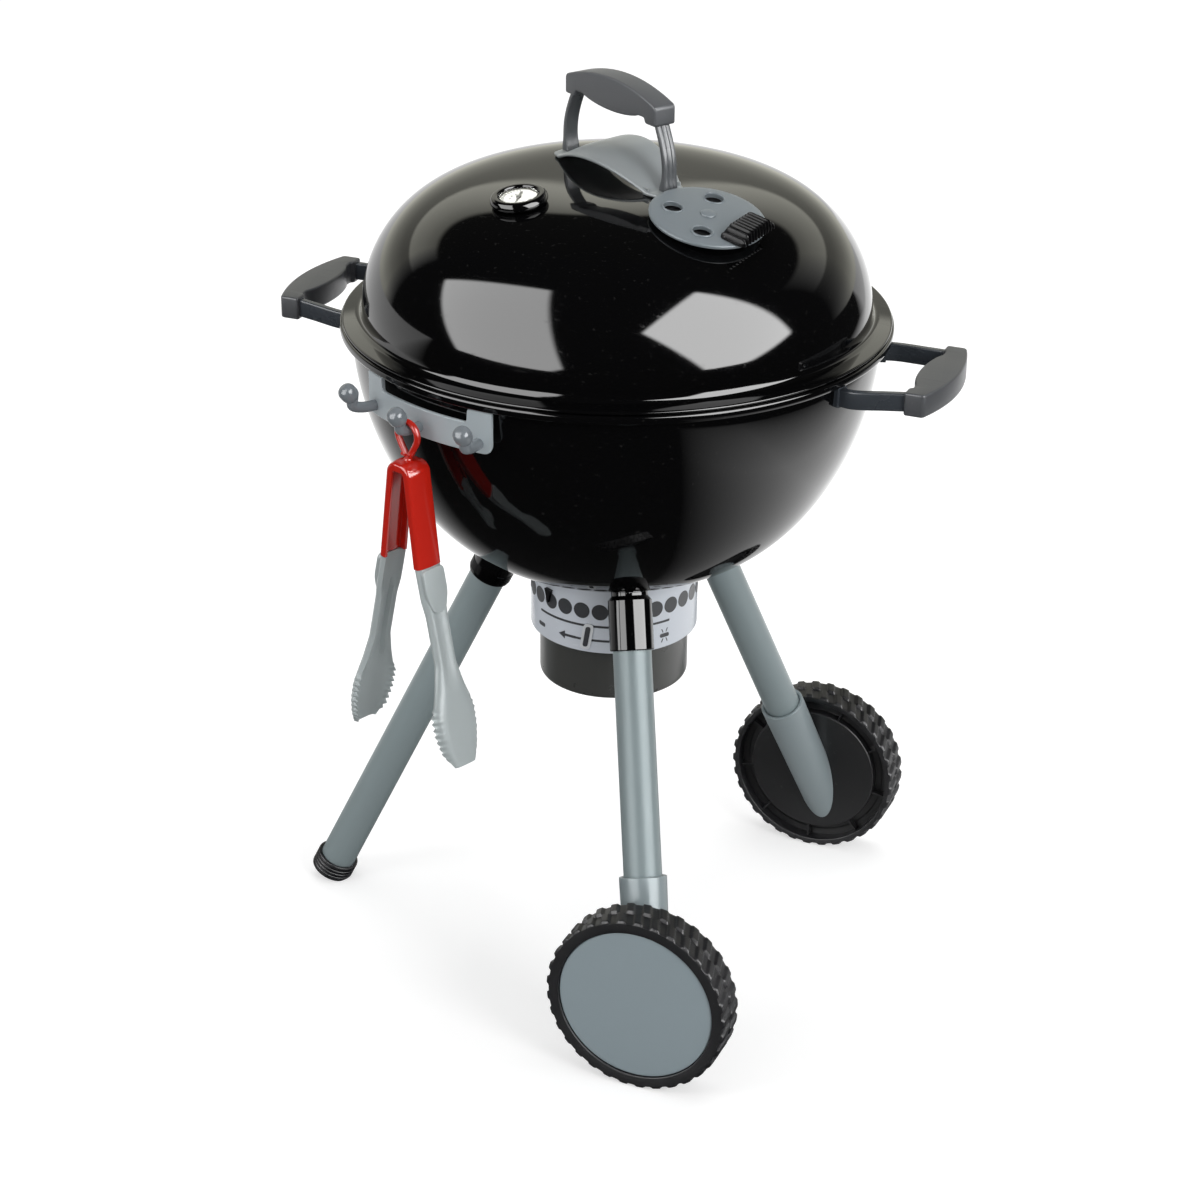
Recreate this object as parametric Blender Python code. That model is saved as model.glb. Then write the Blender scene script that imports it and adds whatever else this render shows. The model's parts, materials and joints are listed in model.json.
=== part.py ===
# Toy kettle barbecue grill on three legs, with its lid, wheels, tongs, grates and glowing coals.
# Metres and degrees, +Z up. The bowl is turned about a vertical line, the wheels' axles lie along Y,
# and the third leg points along -X. The finished grill stands with the middle of its box on the origin.

import math

import bpy
import bmesh
from mathutils import Matrix, Vector

# Shared clearances and cutters
seat_gap = 0.0003
slide_gap = 0.0008
overrun = 0.006
bowl_steps = 36
disc_steps = 28
pipe_steps = 16
pin_steps = 12
post_steps = 4
ring_sides = 6
rod_sides = 4

# Bowl: a turned shell with a rolled rim and two ledges inside
bowl_radius = 0.1593
bowl_depth = 0.1558
bowl_wall = 0.0025
bowl_side_power = 2.76
bowl_base_power = 1.75
rim_height = 0.4246
rim_overhang = 0.0070
rim_thickness = 0.0053
ledge_width = 0.008
ledge_thickness = 0.003

# Lid: a turned shell with a flange that rests on the rim and a lip that finds the bowl
lid_step_in = 0.0063
lid_dome_height = 0.080
lid_wall = 0.0025
lid_side_power = 3.83
lid_top_power = 1.89
lid_foot_rise = 0.0045
lid_foot_step = 0.001
flange_inset = 0.0013
flange_thickness = 0.003
lip_depth = 0.004
lip_wall = 0.002
lip_play = 0.0015

# Lid handle: heat shield, two posts, a grip, and two screws from inside the lid
handle_azimuth = -31.5
post_spread = 0.0485
post_end_inset = 0.0030
post_bulge = 0.0035
post_thickness = 0.0034
post_width = 0.0090
post_height = 0.0368
post_foot_thickness = 0.0066
post_foot_height = 0.0075
post_foot_step = 0.0015
lid_grip_length = 0.0890
lid_grip_arch = 0.0080
lid_grip_end_depth = 0.0115
lid_grip_belly_depth = 0.0080
lid_grip_width = 0.0150
grip_bevel = 0.0022
grip_back_shares = (1.0, 0.75, 0.5, 0.25, 0.0, -0.25, -0.5, -0.75, -1.0)
grip_end_share = 0.76
grip_notch_share = 0.66
grip_belly_shares = (-0.40, 0.0, 0.40)
notch_rise_share = 0.25
belly_drop_share = 0.125
shield_tail = 0.0050
shield_half_width = 0.0190
shield_end_width = 0.0095
shield_thickness = 0.0022
shield_rise = 0.0165
shield_seat = 0.0004
shield_swell_power = 0.8
shield_columns = 14
lid_screw_radius = 0.0012
lid_screw_head_radius = 0.0045
lid_screw_head_height = 0.0025
lid_screw_reach = 0.0060

# Air vent on the lid: a pierced disc that turns on a rivet, with a ribbed tab
vent_azimuth = -32.6
vent_shield_gap = 0.0003
vent_radius = 0.0340
vent_thickness = 0.0022
vent_sag = 0.0014
vent_lift = 0.0010
vent_hole_radius = 0.0055
vent_hole_distance = 0.0205
vent_hole_turn = 45.0
vent_rivet_radius = 0.0022
vent_rivet_head_radius = 0.0045
vent_rivet_head_height = 0.0012
tab_turn = 22.0
tab_distance = 0.0268
tab_length = 0.0340
tab_width = 0.0165
tab_height = 0.0075
tab_foot_height = 0.0025
tab_length_share = 0.62
tab_width_share = 0.80
vent_rim_share = 0.94
vent_middle_share = 0.55
rivet_crown_share = 0.7

# Temperature gauge on the lid
gauge_azimuth = -116.5
gauge_distance = 0.0754
bezel_radius = 0.0172
bezel_height = 0.0052
bezel_ring = 0.0052
bezel_floor = 0.0014
dial_thickness = 0.0008
needle_length = 0.0140
needle_width = 0.0014
needle_thickness = 0.0006
needle_turn = 35.0
gauge_steps = 24
bezel_radius_shares = (0.90, 1.0, 0.93, 0.80)
bezel_height_shares = (0.0, 0.35, 0.85, 1.0)
lens_thickness = 0.0010

# Side handles: a grip on two straps at each side of the bowl
side_grip_drop = 0.0063
side_strap_azimuth = 14.5
side_grip_stand_off = 0.0467
side_grip_length = 0.0850
side_grip_arch = 0.0078
side_grip_end_depth = 0.0120
side_grip_belly_depth = 0.0080
side_grip_width = 0.0140
strap_width = 0.0108
strap_thickness = 0.0048
strap_drop = 0.0020
strap_inset_share = 0.88
strap_bend_share = 0.60

# Tool rack under the rim, with three upturned pegs
rack_azimuth = -110.2
rack_half_angle = 17.6
rack_tab_angle = 8.5
rack_inset = 0.0011
rack_thickness = 0.0024
rack_band_height = 0.0172
rack_notch_height = 0.0080
rack_corner = 0.0060
rack_columns = 17
peg_angle = 14.8
peg_radius = 0.0032
peg_ball_radius = 0.0054
peg_hang = 0.01045
peg_ball_gap = 0.00595
peg_lift = 0.0105
peg_bend_gap = 0.00077
peg_ball_lean = 40.0
peg_height_share = 0.36
peg_elbow_share = 0.643
peg_elbow_lift_share = 0.35
peg_ball_shares = (-0.8, -0.3, 0.3, 0.75, 0.97)
peg_sides = 8
rack_corner_share = 0.8
rack_end_columns = 3

# Ash catcher under the bowl
band_radius = 0.0522
band_wall = 0.0020
band_drop = 0.0410
cup_inset = 0.0037
cup_wall = 0.0018
cup_drop = 0.0345
cup_corner = 0.0030
cup_overlap = 0.0180

# Legs: tubes in collars under the bowl, in sleeves at the wheels and in a cap at the foot
leg_foot_radius = 0.2005
leg_band_gap = 0.02006
leg_azimuths = {"front": -60.0, "rear": 60.0, "foot": 185.0}
tube_radius = 0.0117
tube_wall = 0.0016
collar_wall = 0.0017
collar_length = 0.0310
collar_neck_step = 0.0022
collar_neck_length = 0.0045
collar_bore_depth = 0.0240
leg_screw_radius = 0.0020
leg_screw_head_radius = 0.0048
leg_screw_head_height = 0.0026
leg_screw_reach = 0.0060
sleeve_wall = 0.0018
sleeve_top_height = 0.1180
sleeve_bore_depth = 0.0200
cap_wall = 0.0023
cap_length = 0.0120
cap_floor = 0.0040
cap_flat_depth = 0.0020

# Wheels: a lugged tyre round a black drum, with a hub cap, on a stub axle
wheel_radius = 0.0576
wheel_width = 0.0240
sleeve_flat_offset = 0.00084
lug_count = 24
lug_steps = 2
lug_depth = 0.0026
lug_slant = 7.0
tread_edge = 0.0016
tread_groove = 0.0012
tread_wall = 0.0030
sidewall_thickness = 0.0030
sidewall_ring = 0.0086
hubcap_thickness = 0.0022
hubcap_inset = 0.0008
spigot_depth = 0.0040
spigot_wall = 0.0020
drum_recess = 0.0025
drum_face = 0.0025
drum_wall = 0.0022
hub_radius = 0.0070
hub_gap = 0.0110
axle_radius = 0.0030
axle_grip_length = 0.0075
clip_radius = 0.0056
clip_thickness = 0.0015
axle_tail = 0.0010

# Tongs: a red sprung bow that hangs on the middle peg, with two grey jaws
loop_ring_width = 0.0032
loop_thickness = 0.0042
loop_length = 0.0195
loop_half_width = 0.0062
loop_sides = 16
loop_taper_share = 0.45
loop_sink_share = 0.40
crown_half_width = 0.0026
bow_radius = 0.0078
bow_thickness = 0.0058
bow_width = 0.0180
channel_wall = 0.0018
channel_depth = 0.0040
arm_length = 0.0555
arm_splay = 7.5
arc_steps = 5
jaw_length = 0.1220
jaw_bend = 5.5
jaw_socket_width = 0.0200
jaw_neck_width = 0.0150
jaw_blade_width = 0.0330
jaw_tip_width = 0.0170
jaw_thickness = 0.0052
jaw_blade_thickness = 0.0034
jaw_tongue_length = 0.0100
jaw_tooth_depth = 0.0016
jaw_teeth = 6
socket_end_share = 0.16
neck_start_share = 0.22
blade_start_share = 0.46
blade_full_share = 0.68
neck_outer_share = 0.20
neck_inner_share = 1.10

# Cooking grate and charcoal grate inside the bowl
cooking_play = 0.01513
cooking_ring_wire = 0.0024
cooking_rod_wire = 0.0017
cooking_rods = 14
cooking_drop = 0.0203
charcoal_play = 0.01275
charcoal_ring_wire = 0.0022
charcoal_rod_wire = 0.0019
charcoal_rods = 12
charcoal_overhang = 0.0035
charcoal_drop = 0.1073
crossbar_share = 0.24
wire_sink_share = 0.55

# Coals: a heap of barrel shapes over a lit dome, with a base and a battery cover
heap_base_radius = 0.0620
heap_base_height = 0.0140
coal_radius = 0.0190
coal_length = 0.0440
coal_steps = 8
lower_coals = 7
upper_coals = 3
lower_ring = 0.0520
upper_ring = 0.0230
lower_height = 0.0185
upper_height = 0.0400
glow_radius = 0.0340
glow_height = 0.0120
glow_wall = 0.0020
coal_base_radius = 0.0560
coal_base_thickness = 0.0030
battery_length = 0.0560
battery_width = 0.0300
battery_recess = 0.0016
heap_shoulder_share = 0.94
mound_top_share = 1.6
glow_shoulder_share = 0.7
glow_crown_share = 0.6
coal_round_steps = 18
lower_tilt_shares = (0.2, -0.5, 0.9, -0.2, 0.6, -0.8, 0.1)
upper_tilt_shares = (0.7, -0.3, -0.9)
coal_radius_shares = (0.0, 0.66, 0.93, 1.0, 0.93, 0.66, 0.0)
coal_height_shares = (-1.0, -0.98, -0.72, 0.0, 0.72, 0.98, 1.0)
lower_turn = 70.0
lower_sway_turn = 35.0
lower_sway_tilt = 14.0
upper_start = 25.0
upper_turn = 40.0
upper_sway_turn = 50.0
upper_tilt = 75.0
upper_sway_tilt = 20.0

# Heights and radii that follow from the sizes above
bowl_top = rim_height - rim_thickness
bowl_bottom = bowl_top - bowl_depth
rim_radius = bowl_radius + rim_overhang
flange_bottom = rim_height + seat_gap
flange_top = flange_bottom + flange_thickness
flange_radius = rim_radius - flange_inset
lid_base = flange_top + lid_foot_rise
lid_radius = bowl_radius - lid_step_in
post_top_spread = lid_grip_length / 2 - post_end_inset
shield_length = 2 * (post_spread + shield_tail)
vent_distance = shield_length / 2 + vent_shield_gap + vent_radius
side_grip_height = bowl_top - side_grip_drop
side_grip_reach = bowl_radius + side_grip_stand_off
rack_radius = rim_radius - rack_inset
peg_root = rack_radius - rack_thickness / 2
peg_reach = peg_hang + loop_thickness / 2 + peg_ball_gap
band_bottom_height = bowl_bottom - band_drop
cup_bottom_height = band_bottom_height - cup_drop
cup_radius = band_radius - band_wall - cup_inset
cooking_height = bowl_top - cooking_drop
charcoal_height = bowl_top - charcoal_drop
lean = math.atan((leg_foot_radius - band_radius - leg_band_gap) / bowl_bottom)
collar_radius = tube_radius + collar_wall
collar_neck_radius = collar_radius - collar_neck_step
sleeve_radius = tube_radius + sleeve_wall
cap_radius = tube_radius + cap_wall
cap_base_height = cap_radius * math.sin(lean) - cap_flat_depth
leg_axle_reach = leg_foot_radius - math.tan(lean) * wheel_radius
wheel_x = math.cos(math.radians(leg_azimuths["rear"])) * leg_axle_reach
sleeve_plane = math.sin(math.radians(leg_azimuths["rear"])) * leg_axle_reach + sleeve_flat_offset
drum_plane = sleeve_plane + seat_gap
wheel_inner_reach = drum_plane - drum_recess
hubcap_radius = wheel_radius - sidewall_ring


def new_material(name, colour, roughness, metallic=0.0, alpha=1.0):
    """A Principled material of one colour."""
    finish = bpy.data.materials.new(name)
    finish.use_nodes = True
    shader = finish.node_tree.nodes["Principled BSDF"]
    shader.inputs["Base Color"].default_value = (*colour, 1.0)
    shader.inputs["Roughness"].default_value = roughness
    shader.inputs["Metallic"].default_value = metallic
    shader.inputs["Alpha"].default_value = alpha
    finish.diffuse_color = (*colour, alpha)
    return finish


def clear_scene():
    for item in list(bpy.data.objects):
        bpy.data.objects.remove(item)


def turn_z(degrees):
    return Matrix.Rotation(math.radians(degrees), 4, "Z")


def shift(x=0.0, y=0.0, z=0.0):
    return Matrix.Translation((x, y, z))


def new_pivot(name, place, parent=None):
    """An empty on a joint's axis. Its children are placed in world coordinates and follow it."""
    pivot = bpy.data.objects.new(name, None)
    bpy.context.scene.collection.objects.link(pivot)
    hold(pivot, place, parent)
    return pivot


def hold(item, place, parent):
    """Puts an object at a world place and parents it, so that moving the parent carries it along."""
    item["place"] = [value for row in place for value in row]
    item.parent = parent
    item.matrix_basis = place_of(parent).inverted() @ place


def place_of(item):
    if item is None:
        return Matrix.Identity(4)
    values = item["place"]
    return Matrix([values[row * 4 : row * 4 + 4] for row in range(4)])


def new_solid(name, points, faces, finish, place, parent, smooth=True):
    """A mesh object from points and faces, with its faces turned outwards."""
    mesh = bpy.data.meshes.new(name)
    mesh.from_pydata([tuple(point) for point in points], [], faces)
    shape = bmesh.new()
    shape.from_mesh(mesh)
    bmesh.ops.recalc_face_normals(shape, faces=shape.faces)
    shape.to_mesh(mesh)
    shape.free()
    if smooth:
        mesh.shade_smooth()
        mesh.set_sharp_from_angle(angle=math.radians(35.0))
    item = bpy.data.objects.new(name, mesh)
    bpy.context.scene.collection.objects.link(item)
    if finish is not None:
        mesh.materials.append(finish)
    hold(item, place, parent)
    return item


def as_guide(item):
    """Marks an object as a cutter or a filler that is not a piece itself."""
    item.hide_render = True
    item.display_type = "WIRE"
    return item


def combine(item, guide, operation):
    modifier = item.modifiers.new(guide.name, "BOOLEAN")
    modifier.operation = operation
    modifier.object = as_guide(guide)
    return item


def cut(item, guide):
    return combine(item, guide, "DIFFERENCE")


def add(item, guide):
    return combine(item, guide, "UNION")


def soften(item, width, segments=2):
    """Rounds the sharp edges of a solid."""
    modifier = item.modifiers.new("soften", "BEVEL")
    modifier.width = width
    modifier.segments = segments
    modifier.limit_method = "ANGLE"
    modifier.angle_limit = math.radians(40.0)
    return item


def turned(name, profile, finish, place, parent, steps, ring=False):
    """Turns a profile of (radius, height) about the local Z axis. A ring's profile closes on itself."""
    points, rows, faces = [], [], []
    for radius, height in profile:
        if radius == 0.0:
            rows.append([len(points)] * steps)
            points.append((0.0, 0.0, height))
            continue
        rows.append([len(points) + step for step in range(steps)])
        for step in range(steps):
            angle = math.tau * step / steps
            points.append((radius * math.cos(angle), radius * math.sin(angle), height))
    pairs = list(zip(rows, rows[1:]))
    if ring:
        pairs.append((rows[-1], rows[0]))
    for low, high in pairs:
        for step in range(steps):
            following = (step + 1) % steps
            corners = [low[step], low[following], high[following], high[step]]
            face = [corner for index, corner in enumerate(corners) if corner not in corners[:index]]
            if len(face) > 2:
                faces.append(face)
    return new_solid(name, points, faces, finish, place, parent)


def rod(name, radius, bottom, top, finish, place, parent, steps=pin_steps):
    """A plain round bar along the local Z axis."""
    profile = [(0.0, bottom), (radius, bottom), (radius, top), (0.0, top)]
    return turned(name, profile, finish, place, parent, steps)


def screw(name, radius, reach, head_radius, head_height, finish, place, parent):
    """A screw whose head sits below local zero and whose shank points up."""
    profile = [
        (0.0, -head_height),
        (head_radius, -head_height),
        (head_radius, 0.0),
        (radius, 0.0),
        (radius, reach),
        (0.0, reach),
    ]
    return turned(name, profile, finish, place, parent, pin_steps)


def swept(name, frames, sections, finish, place, parent, smooth=True):
    """Carries a section of (x, y) points through frames, one section for each, and caps both ends."""
    points, faces = [], []
    count = len(sections[0])
    for frame, section in zip(frames, sections):
        points += [frame @ Vector((x, y, 0.0)) for x, y in section]
    for ring in range(len(frames) - 1):
        for index in range(count):
            following = (index + 1) % count
            faces.append(
                [
                    ring * count + index,
                    ring * count + following,
                    (ring + 1) * count + following,
                    (ring + 1) * count + index,
                ]
            )
    faces.append(list(range(count)))
    faces.append([(len(frames) - 1) * count + index for index in range(count)])
    return new_solid(name, points, faces, finish, place, parent, smooth)


def block(name, low, high, finish, place, parent):
    """A box between two corners."""
    section = [(low[0], low[1]), (high[0], low[1]), (high[0], high[1]), (low[0], high[1])]
    frames = [shift(z=low[2]), shift(z=high[2])]
    return swept(name, frames, [section, section], finish, place, parent, smooth=False)


def sheet(name, outer, inner, present, finish, place, parent):
    """A thick plate between two grids of points. Cells that are not present stay open."""
    columns, rows = len(outer), len(outer[0])
    points = [point for grid in (outer, inner) for column in grid for point in column]
    half = columns * rows
    faces, edges = [], {}
    for column in range(columns - 1):
        for row in range(rows - 1):
            if not present(column, row):
                continue
            first = column * rows + row
            cell = [first, first + rows, first + rows + 1, first + 1]
            faces.append(cell)
            faces.append([half + corner for corner in reversed(cell)])
            for start, end in zip(cell, cell[1:] + cell[:1]):
                edges[(start, end)] = (end, start) not in edges
                if (end, start) in edges:
                    edges[(end, start)] = False
    for (start, end), open_side in edges.items():
        if open_side:
            faces.append([end, start, half + start, half + end])
    used = sorted({corner for face in faces for corner in face})
    order = {corner: index for index, corner in enumerate(used)}
    faces = [[order[corner] for corner in face] for face in faces]
    return new_solid(name, [points[corner] for corner in used], faces, finish, place, parent)


def dome_points(radius, depth, side_power, end_power, count):
    """(radius, rise) along a dome, from its widest ring to its pole: cosine and sine to set powers."""
    points = []
    for index in range(count):
        angle = math.pi / 2 * index / count
        points.append(
            (radius * math.cos(angle) ** (2 / side_power), depth * math.sin(angle) ** (2 / end_power))
        )
    return points + [(0.0, depth)]


def dome_rise(distance, radius, depth, side_power, end_power):
    """The rise of a dome's surface at a distance from its axis."""
    angle = math.acos((distance / radius) ** (side_power / 2))
    return depth * math.sin(angle) ** (2 / end_power)


def dome_reach(rise, radius, depth, side_power, end_power):
    """The distance of a dome's surface from its axis at a rise."""
    angle = math.asin((rise / depth) ** (end_power / 2))
    return radius * math.cos(angle) ** (2 / side_power)


def bowl_outside_height(distance):
    return bowl_top - dome_rise(distance, bowl_radius, bowl_depth, bowl_side_power, bowl_base_power)


def bowl_inside_radius(height):
    return dome_reach(
        bowl_top - height, bowl_radius - bowl_wall, bowl_depth - bowl_wall, bowl_side_power, bowl_base_power
    )


def cooking_radius():
    return bowl_inside_radius(cooking_height) - cooking_play


def charcoal_radius():
    return bowl_inside_radius(charcoal_height) - charcoal_play


def lid_height(distance):
    return lid_base + dome_rise(distance, lid_radius, lid_dome_height, lid_side_power, lid_top_power)


def lid_tilt(distance):
    """How far the lid's surface leans outwards at a distance from its axis, in radians."""
    reach = lid_wall
    return math.atan((lid_height(distance - reach) - lid_height(distance + reach)) / (2 * reach))


def on_lid(azimuth, distance, lift=0.0):
    """A frame on the lid's outside with its Z along the surface normal and its X running outwards."""
    lean_out = Matrix.Rotation(lid_tilt(distance), 4, "Y")
    return turn_z(azimuth) @ shift(distance, 0.0, lid_height(distance)) @ lean_out @ shift(z=lift)


def leg_frame(azimuth, height):
    """A frame on a leg's axis at a height, with its Z up along the leg."""
    distance = leg_foot_radius - math.tan(lean) * height
    return turn_z(azimuth) @ shift(distance, 0.0, height) @ Matrix.Rotation(-lean, 4, "Y")


def leg_meets_bowl():
    """The height at which a leg's axis reaches the bowl's outside, found by halving."""
    low, high = bowl_top - bowl_depth, bowl_top
    for _ in range(40):
        middle = (low + high) / 2
        distance = abs(leg_foot_radius - math.tan(lean) * middle)
        if bowl_outside_height(distance) > middle:
            low = middle
        else:
            high = middle
    return low


def circle(radius, sides, turn=0.0):
    return [
        (radius * math.cos(math.tau * side / sides + turn), radius * math.sin(math.tau * side / sides + turn))
        for side in range(sides)
    ]


def grip_outline(length, arch, end_depth, belly_depth):
    """A grip's side view: an arched back, two end blocks, and a shallow belly between them."""
    half = length / 2
    back = [(share * half, arch * (1 - share * share)) for share in grip_back_shares]
    low = -end_depth
    notch = low + belly_depth * notch_rise_share
    drop = belly_depth * belly_drop_share
    front = [(-half, low), (-grip_end_share * half, low), (-grip_notch_share * half, notch)]
    belly = [(share * half, low - drop * (1 - share * share)) for share in grip_belly_shares]
    rear = [(grip_notch_share * half, notch), (grip_end_share * half, low), (half, low)]
    return back + front + belly + rear


def make_grip(name, length, arch, end_depth, belly_depth, width, finish, place, parent):
    """A grip standing in the local XY plane, its back towards +Y, its width along Z."""
    outline = grip_outline(length, arch, end_depth, belly_depth)
    frames = [shift(z=-width / 2), shift(z=width / 2)]
    grip = swept(name, frames, [outline, outline], finish, place, parent)
    return soften(grip, grip_bevel)


def make_bowl(finish, parent):
    outside = dome_points(bowl_radius, bowl_depth, bowl_side_power, bowl_base_power, 8)
    inside_radius, inside_depth = bowl_radius - bowl_wall, bowl_depth - bowl_wall
    profile = [(radius, bowl_top - drop) for radius, drop in reversed(outside)]
    profile += [(rim_radius, bowl_top), (rim_radius, rim_height), (inside_radius, rim_height)]
    inside = dome_points(inside_radius, inside_depth, bowl_side_power, bowl_base_power, 7)
    ledges = []
    for grate_bottom in (cooking_height - cooking_ring_wire, charcoal_height - charcoal_ring_wire):
        ledge_top = grate_bottom - seat_gap
        ledge_low = ledge_top - ledge_thickness
        wall_top, wall_low = bowl_inside_radius(ledge_top), bowl_inside_radius(ledge_low)
        ledges.append([(wall_top, ledge_top), (0.0, ledge_top), (0.0, ledge_low), (wall_low, ledge_low)])
    ledge_inner = [
        cooking_radius() - ledge_width / 2,
        charcoal_radius() - ledge_width / 2,
    ]
    steps = [(radius, bowl_top - drop) for radius, drop in inside]
    for corners, inner in zip(ledges, ledge_inner):
        corners = [corners[0], (inner, corners[1][1]), (inner, corners[2][1]), corners[3]]
        above = [point for point in steps if point[1] > corners[0][1] + ledge_thickness / 2]
        below = [point for point in steps if point[1] < corners[3][1] - ledge_thickness / 2]
        steps = above + corners + below
    return turned("bowl_shell", profile + steps, finish, Matrix.Identity(4), parent, bowl_steps)


def make_lid(finish, parent):
    outside = dome_points(lid_radius, lid_dome_height, lid_side_power, lid_top_power, 9)
    inside = dome_points(
        lid_radius - lid_wall, lid_dome_height - lid_wall, lid_side_power, lid_top_power, 6
    )
    lip_outer = bowl_radius - bowl_wall - lip_play
    profile = [(radius, lid_base + rise) for radius, rise in reversed(inside)]
    profile += [
        (lid_radius - lid_wall, flange_bottom),
        (lip_outer - lip_wall, flange_bottom),
        (lip_outer - lip_wall, flange_bottom - lip_depth),
        (lip_outer, flange_bottom - lip_depth),
        (lip_outer, flange_bottom),
        (flange_radius, flange_bottom),
        (flange_radius, flange_top),
        (lid_radius + lid_foot_step, flange_top),
    ]
    profile += [(radius, lid_base + rise) for radius, rise in outside]
    return turned("lid_shell", profile, finish, Matrix.Identity(4), parent, bowl_steps)


def shield_height(along):
    """Underside of the heat shield above the lid: seated at its ends, arched between the posts."""
    share = min(abs(along) / (post_spread - post_width / 2), 1.0)
    arch = shield_rise * (0.5 + 0.5 * math.cos(math.pi * share))
    return lid_height(abs(along)) + shield_seat + arch


def make_lid_handle(lid, finishes, parent):
    """Shield, posts, grip and the screws that hold them, in a frame turned to the handle's line."""
    line = turn_z(handle_azimuth)
    outer, inner = [], []
    for column in range(shield_columns + 1):
        share = 2 * column / shield_columns - 1
        along = share * shield_length / 2
        swell = math.cos(math.pi / 2 * share) ** shield_swell_power
        half = shield_end_width + (shield_half_width - shield_end_width) * swell
        low = shield_height(along)
        across = (-half, half)
        outer.append([Vector((along, y, low + shield_thickness)) for y in across])
        inner.append([Vector((along, y, low)) for y in across])
    grey = finishes["shield"]
    shield = sheet("lid_heat_shield", outer, inner, lambda column, row: True, grey, line, parent)
    foot = lid_height(post_spread - post_foot_thickness / 2) + shield_seat + shield_thickness
    post_bottom = foot + seat_gap
    post_top = post_bottom + post_height
    for name, side in (("lid_handle_post_near", 1), ("lid_handle_post_far", -1)):
        frames, sections = [], []
        stations = [(0.0, post_foot_thickness), (post_foot_height, post_foot_thickness)]
        start = post_foot_height + post_foot_step
        for step in range(post_steps + 1):
            stations.append((start + (post_height - start) * step / post_steps, post_thickness))
        for height, thickness in stations:
            share = height / post_height
            bulge = post_bulge * math.sin(math.pi * share)
            x = post_spread + (post_top_spread - post_spread) * share + bulge
            frames.append(shift(side * x, 0.0, post_bottom + height))
            wide, half = thickness / 2, post_width / 2
            sections.append([(-wide, -half), (wide, -half), (wide, half), (-wide, half)])
        post = swept(name, frames, sections, finishes["post"], line, parent)
        axis = line @ shift(side * post_spread)
        inside_height = lid_base + dome_rise(
            post_spread, lid_radius - lid_wall, lid_dome_height - lid_wall, lid_side_power, lid_top_power
        )
        seat = axis @ shift(z=inside_height - lid_screw_head_height / 2)
        reach = post_bottom + lid_screw_reach - inside_height
        screw(
            name.replace("post", "screw"),
            lid_screw_radius,
            reach,
            lid_screw_head_radius,
            lid_screw_head_height,
            finishes["screw"],
            seat,
            parent,
        )
        hole = rod(
            name + "_hole",
            lid_screw_radius + seat_gap,
            inside_height - overrun,
            post_bottom + lid_screw_reach + slide_gap,
            None,
            axis,
            parent,
        )
        spot = rod(
            name + "_spot",
            lid_screw_head_radius + seat_gap,
            inside_height - overrun,
            inside_height - lid_screw_head_height / 2 + seat_gap,
            None,
            axis,
            parent,
        )
        cut(post, hole)
        cut(shield, hole)
        cut(lid, hole)
        cut(lid, spot)
    upright = line @ shift(z=post_top + seat_gap + lid_grip_end_depth) @ Matrix.Rotation(math.pi / 2, 4, "X")
    make_grip(
        "lid_handle_grip",
        lid_grip_length,
        lid_grip_arch,
        lid_grip_end_depth,
        lid_grip_belly_depth,
        lid_grip_width,
        finishes["grip"],
        upright,
        parent,
    )


def make_vent(lid, finishes, parent, pivot, axis):
    """The vent disc, its tab and the rivet that it turns on. The axis frame's Z is the rivet's line."""
    bore = vent_rivet_radius + seat_gap
    top = [(bore, vent_sag + vent_thickness)]
    bottom = [(bore, vent_sag)]
    for share in (vent_middle_share, vent_rim_share, 1.0):
        sag = vent_sag * (1 - share * share)
        top.append((vent_radius * share, sag + vent_thickness))
        bottom.append((vent_radius * share, sag))
    base = axis @ shift(z=vent_lift)
    disc = turned("vent_disc", bottom + top[::-1], finishes["vent"], base, pivot, disc_steps, ring=True)
    for hole in range(3):
        turn = Matrix.Rotation(math.radians(vent_hole_turn + 90.0 * (hole + 1)), 4, "Z")
        place = base @ turn @ shift(vent_hole_distance)
        cutter = rod(f"vent_hole_{hole}", vent_hole_radius, -overrun, overrun, None, place, pivot)
        cut(disc, cutter)
    tab_base = vent_thickness + vent_sag * (1 - (tab_distance / vent_radius) ** 2)
    foot = base @ turn_z(tab_turn) @ shift(tab_distance, 0.0, tab_base + seat_gap + vent_sag / 4)
    section_low = [
        (-tab_width / 2, -tab_length / 2),
        (tab_width / 2, -tab_length / 2),
        (tab_width / 2, tab_length / 2),
        (-tab_width / 2, tab_length / 2),
    ]
    section_high = [(x * tab_width_share, y * tab_length_share) for x, y in section_low]
    frames = [shift(), shift(z=tab_foot_height), shift(z=tab_height)]
    sections = [section_low, section_low, section_high]
    swept("vent_tab", frames, sections, finishes["black"], foot, pivot, smooth=False)
    rivet_base = -lid_wall / 2
    rivet_top = vent_lift + vent_sag + vent_thickness + seat_gap
    rivet_profile = [
        (0.0, rivet_base),
        (vent_rivet_radius, rivet_base),
        (vent_rivet_radius, rivet_top),
        (vent_rivet_head_radius, rivet_top),
        (vent_rivet_head_radius * rivet_crown_share, rivet_top + vent_rivet_head_height),
        (0.0, rivet_top + vent_rivet_head_height),
    ]
    turned("vent_rivet", rivet_profile, finishes["vent"], axis, parent, pin_steps)
    cut(lid, rod("vent_rivet_hole", bore, rivet_base - seat_gap, overrun, None, axis, parent))


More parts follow.
